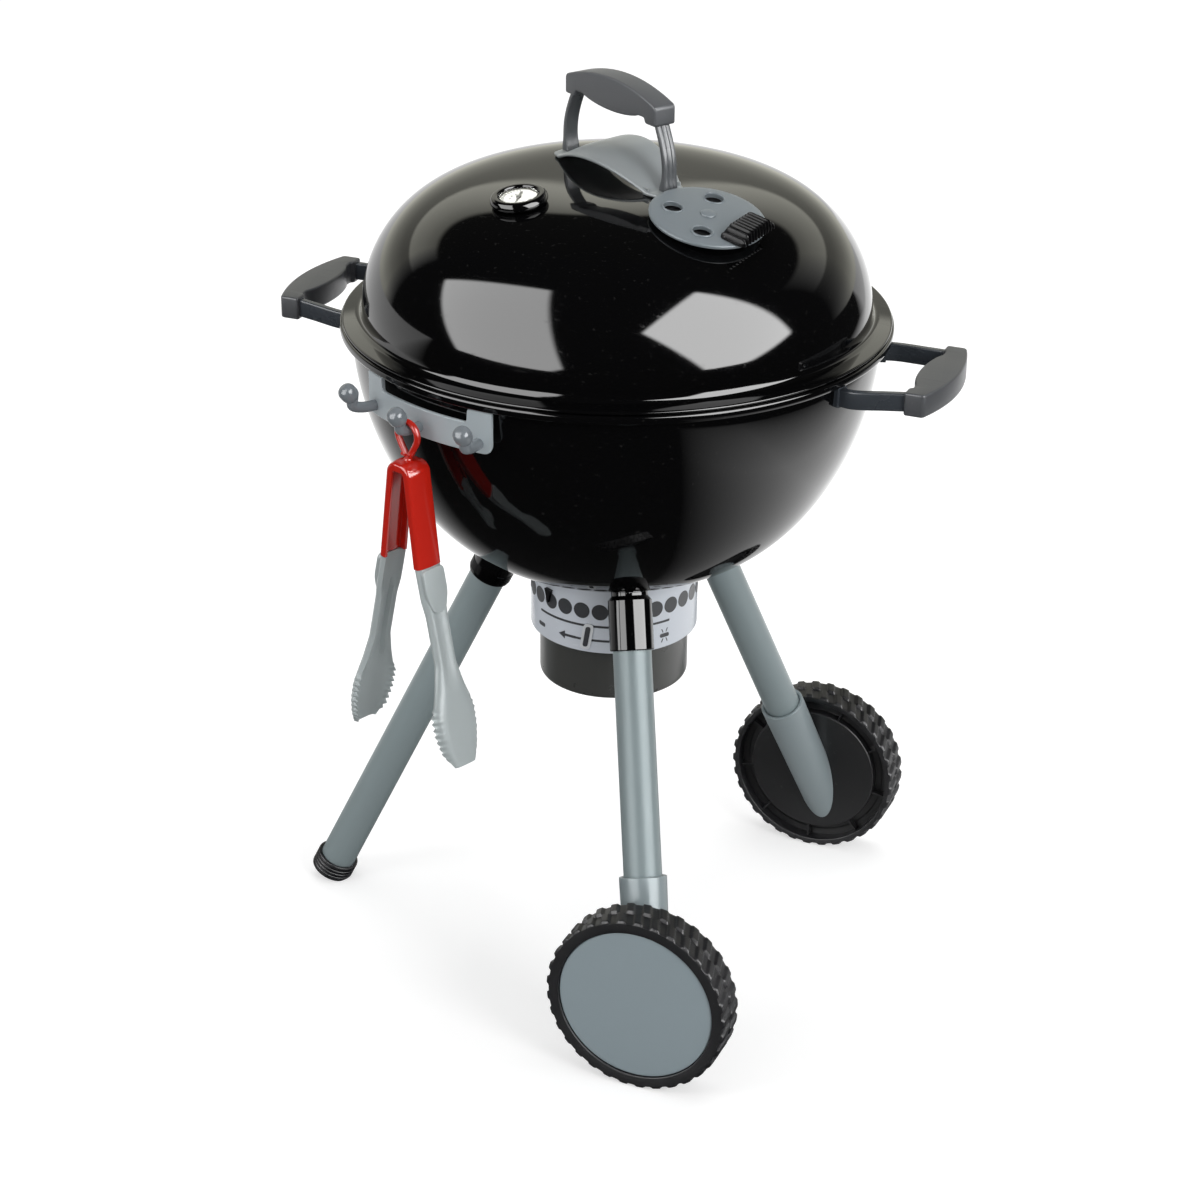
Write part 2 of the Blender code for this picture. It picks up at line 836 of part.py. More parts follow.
def make_gauge(finishes, parent):
    base = on_lid(gauge_azimuth, gauge_distance)
    inner = bezel_radius - bezel_ring
    side = [(bezel_radius * r, bezel_height * z) for r, z in zip(bezel_radius_shares, bezel_height_shares)]
    well = [(inner, bezel_height), (inner, bezel_floor), (0.0, bezel_floor)]
    profile = [(0.0, 0.0)] + side + well
    seat = base @ shift(z=seat_gap)
    turned("gauge_bezel", profile, finishes["black"], seat, parent, disc_steps)
    free = inner - seat_gap
    dial_low = bezel_floor + seat_gap
    rod("gauge_dial", free, dial_low, dial_low + dial_thickness, finishes["dial"], seat, parent, gauge_steps)
    needle_low = dial_low + dial_thickness + seat_gap
    needle = seat @ turn_z(needle_turn)
    low = (-needle_length / 2, -needle_width / 2, needle_low)
    high = (needle_length / 2, needle_width / 2, needle_low + needle_thickness)
    block("gauge_needle", low, high, finishes["black"], needle, parent)
    lens_low = needle_low + needle_thickness + seat_gap
    rod("gauge_lens", free, lens_low, lens_low + lens_thickness, finishes["lens"], seat, parent, gauge_steps)


def make_side_handle(side_name, facing, finishes, parent):
    """One grip and its two straps. Facing is the azimuth of the handle's middle."""
    frame = turn_z(facing)
    wall = dome_reach(
        bowl_top - side_grip_height, bowl_radius, bowl_depth, bowl_side_power, bowl_base_power
    )
    half = strap_width / 2
    strap_y = strap_inset_share * side_grip_length / 2
    grip_inner = side_grip_reach - side_grip_end_depth
    for end_name, sign in (("front", -1), ("rear", 1)):
        angle = math.radians(side_strap_azimuth) * sign
        outward = Vector((math.cos(angle), math.sin(angle), 0.0))
        root_level = Vector((0.0, 0.0, side_grip_height - strap_drop))
        start = outward * (wall + seat_gap) + root_level
        knee = outward * (wall + strap_width) + root_level
        end = Vector((grip_inner - seat_gap, strap_y * sign, side_grip_height))
        path = [start, knee, knee.lerp(end, strap_bend_share), end]
        turns = [angle, angle * strap_bend_share, 0.0, 0.0]
        frames = []
        for point, turn in zip(path, turns):
            frames.append(
                shift(point.x, point.y, point.z)
                @ Matrix.Rotation(turn, 4, "Z")
                @ Matrix.Rotation(math.pi / 2, 4, "Y")
            )
        thick = strap_thickness / 2
        section = [(-half, -thick), (half, -thick), (half, thick), (-half, thick)]
        name = f"{side_name}_handle_strap_{end_name}"
        swept(name, frames, [section] * len(frames), finishes["strap"], frame, parent, smooth=False)
    place = frame @ shift(side_grip_reach, 0.0, side_grip_height) @ Matrix.Rotation(-math.pi / 2, 4, "Z")
    make_grip(
        f"{side_name}_handle_grip",
        side_grip_length,
        side_grip_arch,
        side_grip_end_depth,
        side_grip_belly_depth,
        side_grip_width,
        finishes["grip"],
        place,
        parent,
    )


def peg_centre_height():
    return rack_bottom() + rack_band_height * peg_height_share


def rack_bottom():
    return bowl_top - seat_gap - rack_notch_height - rack_band_height


def make_rack(finishes, parent):
    """The plate that hangs tools: a band with two tabs up to the rim, and three upturned pegs."""
    top = bowl_top - seat_gap
    low = rack_bottom()
    notch = low + rack_band_height
    span = 2 * rack_half_angle
    start = rack_azimuth - rack_half_angle
    angles = [start + span * column / rack_columns for column in range(rack_columns + 1)]
    outer, inner, in_tab = [], [], []
    for angle in angles:
        from_end = max(rack_half_angle - abs(angle - rack_azimuth), 0.0)
        arc = math.radians(from_end) * rack_radius
        lift = 0.0
        if arc < rack_corner:
            lift = rack_corner - math.sqrt(rack_corner**2 - (rack_corner - arc) ** 2)
        direction = Vector((math.cos(math.radians(angle)), math.sin(math.radians(angle)), 0.0))
        heights = (low + lift * rack_corner_share, notch, top)
        outer.append([direction * rack_radius + Vector((0.0, 0.0, height)) for height in heights])
        behind = direction * (rack_radius - rack_thickness)
        inner.append([behind + Vector((0.0, 0.0, height)) for height in heights])
        in_tab.append(from_end < rack_tab_angle - span / rack_columns / 2)
    inside_tabs = [in_tab[column] and in_tab[column + 1] for column in range(rack_columns)]
    near_end = [min(column, rack_columns - 1 - column) for column in range(rack_columns)]
    tab_columns = [inside or place < rack_end_columns for inside, place in zip(inside_tabs, near_end)]

    def present(column, row):
        return row == 0 or tab_columns[column]

    plate = sheet("tool_rack", outer, inner, present, finishes["rack"], Matrix.Identity(4), parent)
    centre = peg_centre_height()
    for index, side in enumerate((-1, 0, 1)):
        place = turn_z(rack_azimuth + side * peg_angle) @ shift(peg_root, 0.0, centre)
        add(plate, make_peg(f"peg_{index}", place, parent))
    return plate


def make_peg(name, place, parent):
    """A round peg that runs outwards along X and turns up into a ball."""
    straight = peg_hang + loop_thickness / 2 + peg_bend_gap
    elbow = (
        straight + (peg_reach - straight) * peg_elbow_share,
        peg_lift * peg_elbow_lift_share,
    )
    path = [(0.0, 0.0), (straight, 0.0), elbow]
    turns = [90.0, 75.0, 45.0]
    sizes = [peg_radius, peg_radius, peg_radius]
    centre = (peg_reach, peg_lift)
    lean_out = math.radians(peg_ball_lean)
    for share in peg_ball_shares:
        along = share * peg_ball_radius
        path.append((centre[0] + along * math.sin(lean_out), centre[1] + along * math.cos(lean_out)))
        turns.append(peg_ball_lean)
        sizes.append(max(peg_ball_radius * math.sqrt(1 - share * share), peg_radius / 4))
    frames, sections = [], []
    for (x, z), turn, size in zip(path, turns, sizes):
        frames.append(shift(x, 0.0, z) @ Matrix.Rotation(math.radians(turn), 4, "Y"))
        sections.append(circle(size, peg_sides))
    return swept(name, frames, sections, None, place, parent)


def make_ash_catcher(finishes, parent):
    """A printed band under the bowl and the black cup that hangs inside it."""
    band_inner = band_radius - band_wall
    profile = [
        (band_radius, band_bottom_height),
        (band_radius, bowl_outside_height(band_radius) - seat_gap),
        (band_inner, bowl_outside_height(band_inner) - seat_gap),
        (band_inner, band_bottom_height),
    ]
    turned("ash_band", profile, finishes["band"], Matrix.Identity(4), parent, disc_steps, ring=True)
    cup_top = band_bottom_height + cup_overlap
    step_radius = band_inner - seat_gap
    step_low = cup_top - cup_overlap / 3
    inner = cup_radius - cup_wall
    cup = [
        (0.0, cup_bottom_height),
        (cup_radius - cup_corner, cup_bottom_height),
        (cup_radius, cup_bottom_height + cup_corner),
        (cup_radius, step_low),
        (step_radius, step_low + cup_corner / 2),
        (step_radius, cup_top),
        (inner, cup_top),
        (inner, cup_bottom_height + cup_wall + cup_corner),
        (inner - cup_corner, cup_bottom_height + cup_wall),
        (0.0, cup_bottom_height + cup_wall),
    ]
    turned("ash_cup", cup, finishes["cup"], Matrix.Identity(4), parent, disc_steps)


def bowl_filler(name, parent):
    """The bowl's outside, filled and a seat's gap larger, for cutting what reaches up to it."""
    outside = dome_points(
        bowl_radius + seat_gap, bowl_depth + seat_gap, bowl_side_power, bowl_base_power, 8
    )
    profile = [(radius, bowl_top - drop) for radius, drop in reversed(outside)]
    profile += [(0.0, bowl_top)]
    return turned(name, profile, None, Matrix.Identity(4), parent, bowl_steps)


def make_leg(name, bowl, filler, finishes, parent):
    """A collar, its screw and a tube, with a sleeve at a wheel or a cap at the foot."""
    azimuth = leg_azimuths[name]
    meet = leg_meets_bowl()
    top = leg_frame(azimuth, meet)
    collar_bottom = -collar_neck_length - collar_length
    bore = tube_radius + seat_gap
    bore_top = collar_bottom + collar_bore_depth
    profile = [
        (0.0, bore_top),
        (bore, bore_top),
        (bore, collar_bottom),
        (collar_radius, collar_bottom),
        (collar_radius, -collar_neck_length),
        (collar_neck_radius, -collar_neck_length * 0.5),
        (collar_neck_radius, collar_neck_radius / 2),
        (0.0, collar_neck_radius / 2),
    ]
    collar = turned(f"leg_collar_{name}", profile, finishes["black"], top, parent, pipe_steps)
    cut(collar, filler)
    thread_hole = rod(
        f"collar_hole_{name}",
        leg_screw_radius + seat_gap,
        -leg_screw_reach - slide_gap,
        overrun,
        None,
        top,
        parent,
    )
    cut(collar, thread_hole)
    shank = leg_screw_radius + seat_gap
    head = leg_screw_head_radius + seat_gap
    spot_low = bowl_wall - seat_gap
    stepped = [(0.0, -overrun / 2), (shank, -overrun / 2), (shank, spot_low), (head, spot_low)]
    stepped += [(head, overrun), (0.0, overrun)]
    cut(bowl, turned(f"bowl_hole_{name}", stepped, None, top, parent, pin_steps))
    head_place = top @ shift(z=bowl_wall) @ Matrix.Rotation(math.pi, 4, "X")
    screw(
        f"leg_screw_{name}",
        leg_screw_radius,
        bowl_wall + leg_screw_reach,
        leg_screw_head_radius,
        leg_screw_head_height,
        finishes["screw"],
        head_place,
        parent,
    )
    tube_top = bore_top - seat_gap
    if name == "foot":
        end_height = cap_base_height + cap_floor * math.cos(lean)
    else:
        end_height = sleeve_top_height - sleeve_bore_depth * math.cos(lean)
    tube_bottom = (end_height - meet) / math.cos(lean) + seat_gap
    wall = tube_radius - tube_wall
    tube = [(wall, tube_bottom), (tube_radius, tube_bottom), (tube_radius, tube_top), (wall, tube_top)]
    turned(f"leg_tube_{name}", tube, finishes["leg"], top, parent, pipe_steps, ring=True)
    if name == "foot":
        make_foot_cap(meet, top, finishes, parent)
    else:
        make_sleeve(name, meet, top, finishes, parent)


def socket_profile(radius, bore, bottom, floor, rim):
    """The turned profile of a cup with its bore open at the top."""
    return [(0.0, bottom), (radius, bottom), (radius, rim), (bore, rim), (bore, floor), (0.0, floor)]


def make_foot_cap(meet, top, finishes, parent):
    """The cup on the third leg, cut level where it stands on the ground."""
    bottom = (cap_base_height - meet) / math.cos(lean)
    floor = bottom + cap_floor
    rim = bottom + cap_length
    bore = tube_radius + seat_gap
    profile = socket_profile(cap_radius, bore, bottom, floor, rim)
    cap = turned("foot_cap", profile, finishes["cap"], top, parent, pipe_steps)
    reach = leg_foot_radius + cap_radius * 4
    ground = block(
        "ground_cutter",
        (-reach, -reach, -cap_radius * 4),
        (0.0, reach, 0.0),
        None,
        Matrix.Identity(4),
        parent,
    )
    cut(cap, ground)


def make_sleeve(name, meet, top, finishes, parent):
    """The sleeve at a wheel: a bored top and a solid end, cut flat along the wheel's inner face."""
    side = -1 if name == "front" else 1
    rim = (sleeve_top_height - meet) / math.cos(lean)
    floor = rim - sleeve_bore_depth
    bottom = -meet / math.cos(lean)
    bore = tube_radius + seat_gap
    profile = socket_profile(sleeve_radius, bore, bottom, floor, rim)
    sleeve = turned(f"wheel_sleeve_{name}", profile, finishes["sleeve"], top, parent, pipe_steps)
    far = sleeve_plane + leg_foot_radius
    span = sorted((side * sleeve_plane, side * far))
    trim = block(
        f"sleeve_trim_{name}",
        (0.0, span[0], -sleeve_radius * 2),
        (wheel_x * 2, span[1], sleeve_top_height * 2),
        None,
        Matrix.Identity(4),
        parent,
    )
    cut(sleeve, trim)
    hole = rod(
        f"axle_hole_{name}",
        axle_radius + seat_gap,
        -axle_grip_length - seat_gap,
        overrun,
        None,
        wheel_frame(side) @ shift(z=sleeve_plane - wheel_inner_reach),
        parent,
    )
    cut(sleeve, hole)


def wheel_frame(side):
    """A frame at a wheel's inner edge, on its axle, with Z pointing outwards."""
    outwards = Matrix.Rotation(-side * math.pi / 2, 4, "X")
    return shift(wheel_x, side * wheel_inner_reach, wheel_radius) @ outwards


def make_tyre(name, finish, place, pivot):
    """A ring with two rows of slanted lugs on its tread and a flat wall on its outer side."""
    steps = lug_count * lug_steps
    inner = wheel_radius - lug_depth - tread_wall
    opening = hubcap_radius + seat_gap
    groove = wheel_radius - lug_depth
    middle = wheel_width / 2
    stations = [
        (0.0, groove, None),
        (tread_edge, wheel_radius, 0),
        (middle - tread_groove, wheel_radius, 0),
        (middle, groove, None),
        (middle + tread_groove, wheel_radius, 1),
        (wheel_width - tread_edge, wheel_radius, 1),
        (wheel_width, groove, None),
        (wheel_width, opening, None),
        (wheel_width - sidewall_thickness, opening, None),
        (wheel_width - sidewall_thickness, inner, None),
        (0.0, inner, None),
    ]
    points, faces = [], []
    for along, radius, row in stations:
        slant = math.radians(lug_slant) * abs(along - middle) / middle
        for step in range(steps):
            angle = math.tau * step / steps + slant
            raised = row is not None and (step + row) % lug_steps < lug_steps - 1
            size = radius if row is None or raised else groove
            points.append((size * math.cos(angle), size * math.sin(angle), along))
    count = len(stations)
    for station in range(count):
        for step in range(steps):
            a = station * steps + step
            b = station * steps + (step + 1) % steps
            c = (station + 1) % count * steps + (step + 1) % steps
            d = (station + 1) % count * steps + step
            faces.append([a, b, c, d])
    return new_solid(f"tyre_{name}", points, faces, finish, place, pivot)


def make_wheel(name, finishes, parent, pivot):
    """Tyre, drum and hub cap turn with the pivot. The axle and its clip stay with the leg."""
    side = -1 if name == "front" else 1
    place = wheel_frame(side)
    make_tyre(name, finishes["tyre"], place, pivot)
    bore = axle_radius + seat_gap
    drum_outer = hubcap_radius - seat_gap
    drum_inner = drum_outer - drum_wall
    cap_back = wheel_width - hubcap_inset - hubcap_thickness
    drum = [
        (bore, drum_recess),
        (drum_outer, drum_recess),
        (drum_outer, cap_back - seat_gap),
        (drum_inner, cap_back - seat_gap),
        (drum_inner, drum_recess + drum_face),
        (hub_radius, drum_recess + drum_face),
        (hub_radius, wheel_width - hub_gap),
        (bore, wheel_width - hub_gap),
    ]
    turned(f"wheel_drum_{name}", drum, finishes["black"], place, pivot, disc_steps, ring=True)
    spigot_outer = drum_inner - seat_gap
    spigot_inner = spigot_outer - spigot_wall
    hubcap = [
        (0.0, cap_back),
        (spigot_inner, cap_back),
        (spigot_inner, cap_back - spigot_depth),
        (spigot_outer, cap_back - spigot_depth),
        (spigot_outer, cap_back),
        (hubcap_radius, cap_back),
        (hubcap_radius, wheel_width - hubcap_inset),
        (0.0, wheel_width - hubcap_inset),
    ]
    turned(f"hubcap_{name}", hubcap, finishes["hubcap"], place, pivot, disc_steps)
    clip_low = wheel_width - hub_gap + seat_gap
    axle_end = clip_low + clip_thickness + axle_tail
    axle_start = sleeve_plane - wheel_inner_reach - axle_grip_length
    rod(f"axle_{name}", axle_radius, axle_start, axle_end, finishes["steel"], place, parent)
    clip = [
        (bore, clip_low),
        (clip_radius, clip_low),
        (clip_radius, clip_low + clip_thickness),
        (bore, clip_low + clip_thickness),
    ]
    turned(f"axle_clip_{name}", clip, finishes["steel"], place, parent, pin_steps, ring=True)


def tongs_frame():
    """A frame on the middle peg's axis where the tongs hang: X to the right, Y inwards, Z up."""
    place = shift(peg_root + peg_hang, 0.0, peg_centre_height())
    return turn_z(rack_azimuth) @ place @ turn_z(90.0)


def crown_top():
    return peg_radius + seat_gap - loop_length - loop_ring_width * loop_sink_share


def hinge_height():
    """The inner side of the bow's crown, where each arm of the bow flexes."""
    return crown_top() - bow_thickness


def make_loop(finish, pivot):
    """The hanging loop: a teardrop ring round the peg, on a short crown."""
    frame = tongs_frame()
    sides = loop_sides
    top = peg_radius + seat_gap
    centre = top - loop_half_width
    points, faces = [], []
    for inner in (0, 1):
        for layer in (-0.5, 0.5):
            for side in range(sides):
                angle = math.pi / 2 + math.tau * side / sides
                grow = 0.0 if inner else loop_ring_width
                x = (loop_half_width + grow) * math.cos(angle)
                z = centre + (loop_half_width + grow) * math.sin(angle)
                if math.sin(angle) < 0.0:
                    fall = -math.sin(angle)
                    x *= 1 - loop_taper_share * fall * fall
                    z -= fall * fall * (loop_length - 2 * loop_half_width)
                points.append((x, layer * loop_thickness, z))
    for side in range(sides):
        following = (side + 1) % sides
        rows = [0, sides, 3 * sides, 2 * sides]
        for first, second in zip(rows, rows[1:] + rows[:1]):
            faces.append([first + side, first + following, second + following, second + side])
    loop = new_solid("tongs_loop", points, faces, finish, frame, pivot)
    low, high = hinge_height(), crown_top()
    crown = block(
        "crown_filler",
        (-crown_half_width, -bow_width / 2, low),
        (crown_half_width, bow_width / 2, high),
        None,
        frame,
        pivot,
    )
    return add(loop, crown)


def channel_section(width, thickness, wall, depth):
    """A C section whose open side faces -X: X is the thickness, Y the width."""
    half = width / 2
    return [
        (0.0, -half),
        (0.0, half),
        (-thickness, half),
        (-thickness, half - wall),
        (-thickness + depth, half - wall),
        (-thickness + depth, -half + wall),
        (-thickness, -half + wall),
        (-thickness, -half),
    ]


def arm_path():
    """Frames down the right arm: over the crown's shoulder, then straight down to its end."""
    splay = math.radians(arm_splay)
    start_x = crown_half_width + seat_gap
    top = crown_top()
    frames = []
    half_turn = Matrix.Rotation(math.pi, 4, "Z")
    for step in range(arc_steps + 1):
        turn = (math.pi / 2 - splay) * step / arc_steps
        x = start_x + bow_radius * math.sin(turn)
        z = top - bow_radius * (1 - math.cos(turn))
        frames.append(shift(x, 0.0, z) @ Matrix.Rotation(math.pi / 2 + turn, 4, "Y") @ half_turn)
    last = frames[-1]
    frames.append(last @ shift(z=arm_length))
    return frames


def make_arm(name, side, finishes, pivot):
    """One arm of the bow and its jaw. Side is 1 for the right arm and -1 for the mirrored left one."""
    mirror = Matrix.Diagonal((side, 1.0, 1.0, 1.0))
    place = tongs_frame()
    frames = [mirror @ frame for frame in arm_path()]
    section = channel_section(bow_width, bow_thickness, channel_wall, channel_depth)
    swept(f"tongs_arm_{name}", frames, [section] * len(frames), finishes["red"], place, pivot)
    end = frames[-1]
    tongue_half = bow_width / 2 - channel_wall - seat_gap
    tongue_deep = -bow_thickness + channel_depth - seat_gap
    neck_outer = -jaw_thickness * neck_outer_share
    neck_inner = -jaw_thickness * neck_inner_share
    rows = [
        (-jaw_tongue_length, tongue_half, tongue_deep, -bow_thickness + seat_gap),
        (seat_gap, tongue_half, tongue_deep, -bow_thickness + seat_gap),
        (seat_gap, jaw_socket_width / 2, 0.0, -bow_thickness),
        (jaw_length * socket_end_share, jaw_socket_width / 2, 0.0, -bow_thickness),
        (jaw_length * neck_start_share, jaw_neck_width / 2, neck_outer, neck_inner),
        (jaw_length * blade_start_share, jaw_neck_width / 2, neck_outer, neck_inner),
    ]
    swell_share = (blade_start_share + blade_full_share) / 2
    swell_half = (jaw_neck_width + jaw_blade_width) / 4
    rows.append((jaw_length * swell_share, swell_half, neck_outer / 2, -jaw_thickness))
    for tooth in range(2 * jaw_teeth + 1):
        narrow = tooth / (2 * jaw_teeth)
        share = blade_full_share + (1 - blade_full_share) * narrow
        half = jaw_blade_width / 2 * (1 - narrow**2) + jaw_tip_width / 2 * narrow**2
        half -= jaw_tooth_depth * (tooth % 2)
        rows.append((jaw_length * share, half, 0.0, -jaw_blade_thickness))
    jaw_frames, sections = [], []
    bent = end @ Matrix.Rotation(math.radians(jaw_bend), 4, "Y")
    for along, half, outer, inner in rows:
        jaw_frames.append((end if along <= seat_gap else bent) @ shift(z=along))
        sections.append([(inner, -half), (outer, -half), (outer, half), (inner, half)])
    swept(f"tongs_jaw_{name}", jaw_frames, sections, finishes["jaw"], place, pivot)


def make_grate(name, radius, height, ring_wire, rod_wire, rods, overhang, rods_above, finish, pivot):
    """A wire ring with parallel rods across it and two bars beneath them."""
    level = shift(z=height)
    profile = [(radius + x, z) for x, z in circle(ring_wire, ring_sides)]
    ring = turned(name, profile, finish, level, pivot, bowl_steps, ring=True)
    rod_height = ring_wire * wire_sink_share if rods_above else 0.0
    pitch = 2 * radius / (rods + 1)
    lines = []
    for index in range(rods):
        y = -radius + pitch * (index + 1)
        reach = math.sqrt(radius**2 - y**2) + overhang
        lines.append((Vector((-reach, y, rod_height)), Vector((reach, y, rod_height))))
    add(ring, wire_bundle(f"{name}_rods", lines, rod_wire, level, pivot))
    bars = []
    for side in (-1, 1):
        x = side * radius * crossbar_share
        reach = math.sqrt(radius**2 - x**2) - pitch * 0.8
        bar_height = rod_height - 2 * rod_wire * wire_sink_share
        bars.append((Vector((x, -reach, bar_height)), Vector((x, reach, bar_height))))
    add(ring, wire_bundle(f"{name}_bars", bars, rod_wire, level, pivot))
    return ring


def wire_bundle(name, lines, wire, place, parent):
    """Several straight wires as one guide mesh."""
    points, faces = [], []
    for start, end in lines:
        direction = (end - start).normalized()
        across = direction.cross(Vector((0.0, 0.0, 1.0)))
        upward = across.cross(direction)
        first = len(points)
        for centre in (start, end):
            for x, y in circle(wire, rod_sides, math.pi / rod_sides):
                points.append(centre + across * x + upward * y)
        last = first + rod_sides
        for side in range(rod_sides):
            following = (side + 1) % rod_sides
            faces.append([first + side, first + following, last + following, last + side])
        faces.append([first + side for side in range(rod_sides)])
        faces.append([last + side for side in range(rod_sides)])
    return new_solid(name, points, faces, None, place, parent)


def coal_places():
    """Where each coal of the heap lies: turned, tilted and pushed about by steady fractions."""
    places = []
    for index in range(lower_coals):
        turn = 360.0 * index / lower_coals
        sway = lower_tilt_shares[index % len(lower_tilt_shares)]
        places.append(
            turn_z(turn)
            @ shift(lower_ring, 0.0, lower_height)
            @ turn_z(lower_turn + lower_sway_turn * sway)
            @ Matrix.Rotation(math.pi / 2 + math.radians(lower_sway_tilt * sway), 4, "Y")
        )
    for index in range(upper_coals):
        turn = 360.0 * index / upper_coals + upper_start
        sway = upper_tilt_shares[index % len(upper_tilt_shares)]
        places.append(
            turn_z(turn)
            @ shift(upper_ring, 0.0, upper_height)
            @ turn_z(upper_turn + upper_sway_turn * sway)
            @ Matrix.Rotation(math.radians(upper_tilt + upper_sway_tilt * sway), 4, "Y")
        )
    return places


def coal_profile():
    """A barrel with rounded ends: radii and heights as shares of its radius and half length."""
    half = coal_length / 2
    return [(coal_radius * r, half * z) for r, z in zip(coal_radius_shares, coal_height_shares)]


def make_coals(finishes, pivot):
    """The coal heap, the lit dome inside it, its base and the battery cover."""
    bottom = charcoal_height + charcoal_ring_wire * wire_sink_share + charcoal_rod_wire + seat_gap
    base = shift(z=bottom)
    shell_low = coal_base_thickness + seat_gap
    mound = [
        (0.0, shell_low),
        (heap_base_radius, shell_low),
        (heap_base_radius * heap_shoulder_share, shell_low + heap_base_height),
        (upper_ring * mound_top_share, upper_height),
        (0.0, upper_height),
    ]
    heap = turned("coal_heap", mound, finishes["coal"], base, pivot, coal_round_steps)
    for index, place in enumerate(coal_places()):
        add(heap, turned(f"coal_{index}", coal_profile(), None, base @ place, pivot, coal_steps))
    floor = block(
        "heap_trim",
        (-heap_base_radius * 2, -heap_base_radius * 2, -coal_length),
        (heap_base_radius * 2, heap_base_radius * 2, shell_low),
        None,
        base,
        pivot,
    )
    cut(heap, floor)
    shoulder = shell_low + glow_height * glow_shoulder_share
    crown = glow_radius * glow_crown_share
    glow_top = shell_low + glow_height
    cavity = [
        (0.0, shell_low - overrun),
        (glow_radius + seat_gap, shell_low - overrun),
        (glow_radius + seat_gap, shoulder),
        (crown, glow_top + seat_gap),
        (0.0, glow_top + seat_gap),
    ]
    cut(heap, turned("heap_cavity", cavity, None, base, pivot, coal_round_steps))
    glow = [
        (0.0, glow_top),
        (crown - seat_gap, glow_top),
        (glow_radius, shoulder - seat_gap),
        (glow_radius, shell_low),
        (glow_radius - glow_wall, shell_low),
        (glow_radius - glow_wall, shoulder - glow_wall),
        (crown - glow_wall, glow_top - glow_wall),
        (0.0, glow_top - glow_wall),
    ]
    turned("coal_glow_dome", glow, finishes["glow"], base, pivot, coal_round_steps)
    plate = rod(
        "coal_base", coal_base_radius, 0.0, coal_base_thickness, finishes["black"], base, pivot, coal_round_steps
    )
    half_x, half_y = battery_length / 2, battery_width / 2
    pocket = block(
        "battery_pocket", (-half_x, -half_y, -overrun), (half_x, half_y, battery_recess), None, base, pivot
    )
    cut(plate, pocket)
    low = (-half_x + seat_gap, -half_y + seat_gap, 0.0)
    high = (half_x - seat_gap, half_y - seat_gap, battery_recess - seat_gap)
    block("battery_cover", low, high, finishes["black"], base, pivot)


def stand_on_origin(root):
    """Moves everything so that the middle of the object's box lies over the origin."""
    bpy.context.view_layer.update()
    graph = bpy.context.evaluated_depsgraph_get()
    lows, highs = [math.inf] * 2, [-math.inf] * 2
    for item in bpy.context.scene.objects:
        if item.type != "MESH" or item.hide_render:
            continue
        seen = item.evaluated_get(graph)
        mesh = seen.to_mesh()
        for vertex in mesh.vertices:
            corner = seen.matrix_world @ vertex.co
            for axis in range(2):
                lows[axis] = min(lows[axis], corner[axis])
                highs[axis] = max(highs[axis], corner[axis])
        seen.to_mesh_clear()
    root.location.x = -(lows[0] + highs[0]) / 2
    root.location.y = -(lows[1] + highs[1]) / 2
    bpy.context.view_layer.update()


def make_finishes():
    return {
        "black": new_material("gloss_black", (0.008, 0.008, 0.009), 0.12),
        "grip": new_material("grip_grey", (0.085, 0.092, 0.098), 0.45),
        "post": new_material("post_grey", (0.15, 0.155, 0.16), 0.35),
        "strap": new_material("strap_grey", (0.045, 0.050, 0.060), 0.32),
        "shield": new_material("shield_grey", (0.27, 0.31, 0.325), 0.35),
        "vent": new_material("vent_grey", (0.22, 0.25, 0.27), 0.35),
        "dial": new_material("dial_white", (0.85, 0.85, 0.83), 0.5),
        "lens": new_material("lens_clear", (0.9, 0.9, 0.9), 0.05, alpha=0.25),
        "rack": new_material("rack_grey", (0.38, 0.43, 0.46), 0.30),
        "band": new_material("band_silver", (0.62, 0.65, 0.70), 0.25, metallic=0.3),
        "cup": new_material("cup_black", (0.03, 0.03, 0.03), 0.30),
        "leg": new_material("leg_grey", (0.29, 0.35, 0.37), 0.33),
        "sleeve": new_material("sleeve_grey", (0.24, 0.28, 0.31), 0.30),
        "cap": new_material("cap_black", (0.02, 0.02, 0.022), 0.45),
        "tyre": new_material("tyre_black", (0.012, 0.012, 0.013), 0.40),
        "hubcap": new_material("hubcap_grey", (0.23, 0.28, 0.32), 0.40),
        "steel": new_material("plain_steel", (0.55, 0.55, 0.55), 0.30, metallic=1.0),
        "screw": new_material("screw_steel", (0.60, 0.60, 0.60), 0.35, metallic=1.0),
        "red": new_material("tongs_red", (0.55, 0.02, 0.01), 0.22),
        "jaw": new_material("jaw_grey", (0.40, 0.43, 0.45), 0.30),
        "cooking": new_material("cooking_grate_grey", (0.40, 0.45, 0.47), 0.35),
        "charcoal": new_material("charcoal_grate_grey", (0.06, 0.065, 0.07), 0.40),
        "coal": new_material("coal_black", (0.012, 0.010, 0.010), 0.20),
        "glow": new_material("glow_red", (0.80, 0.06, 0.01), 0.30),
    }


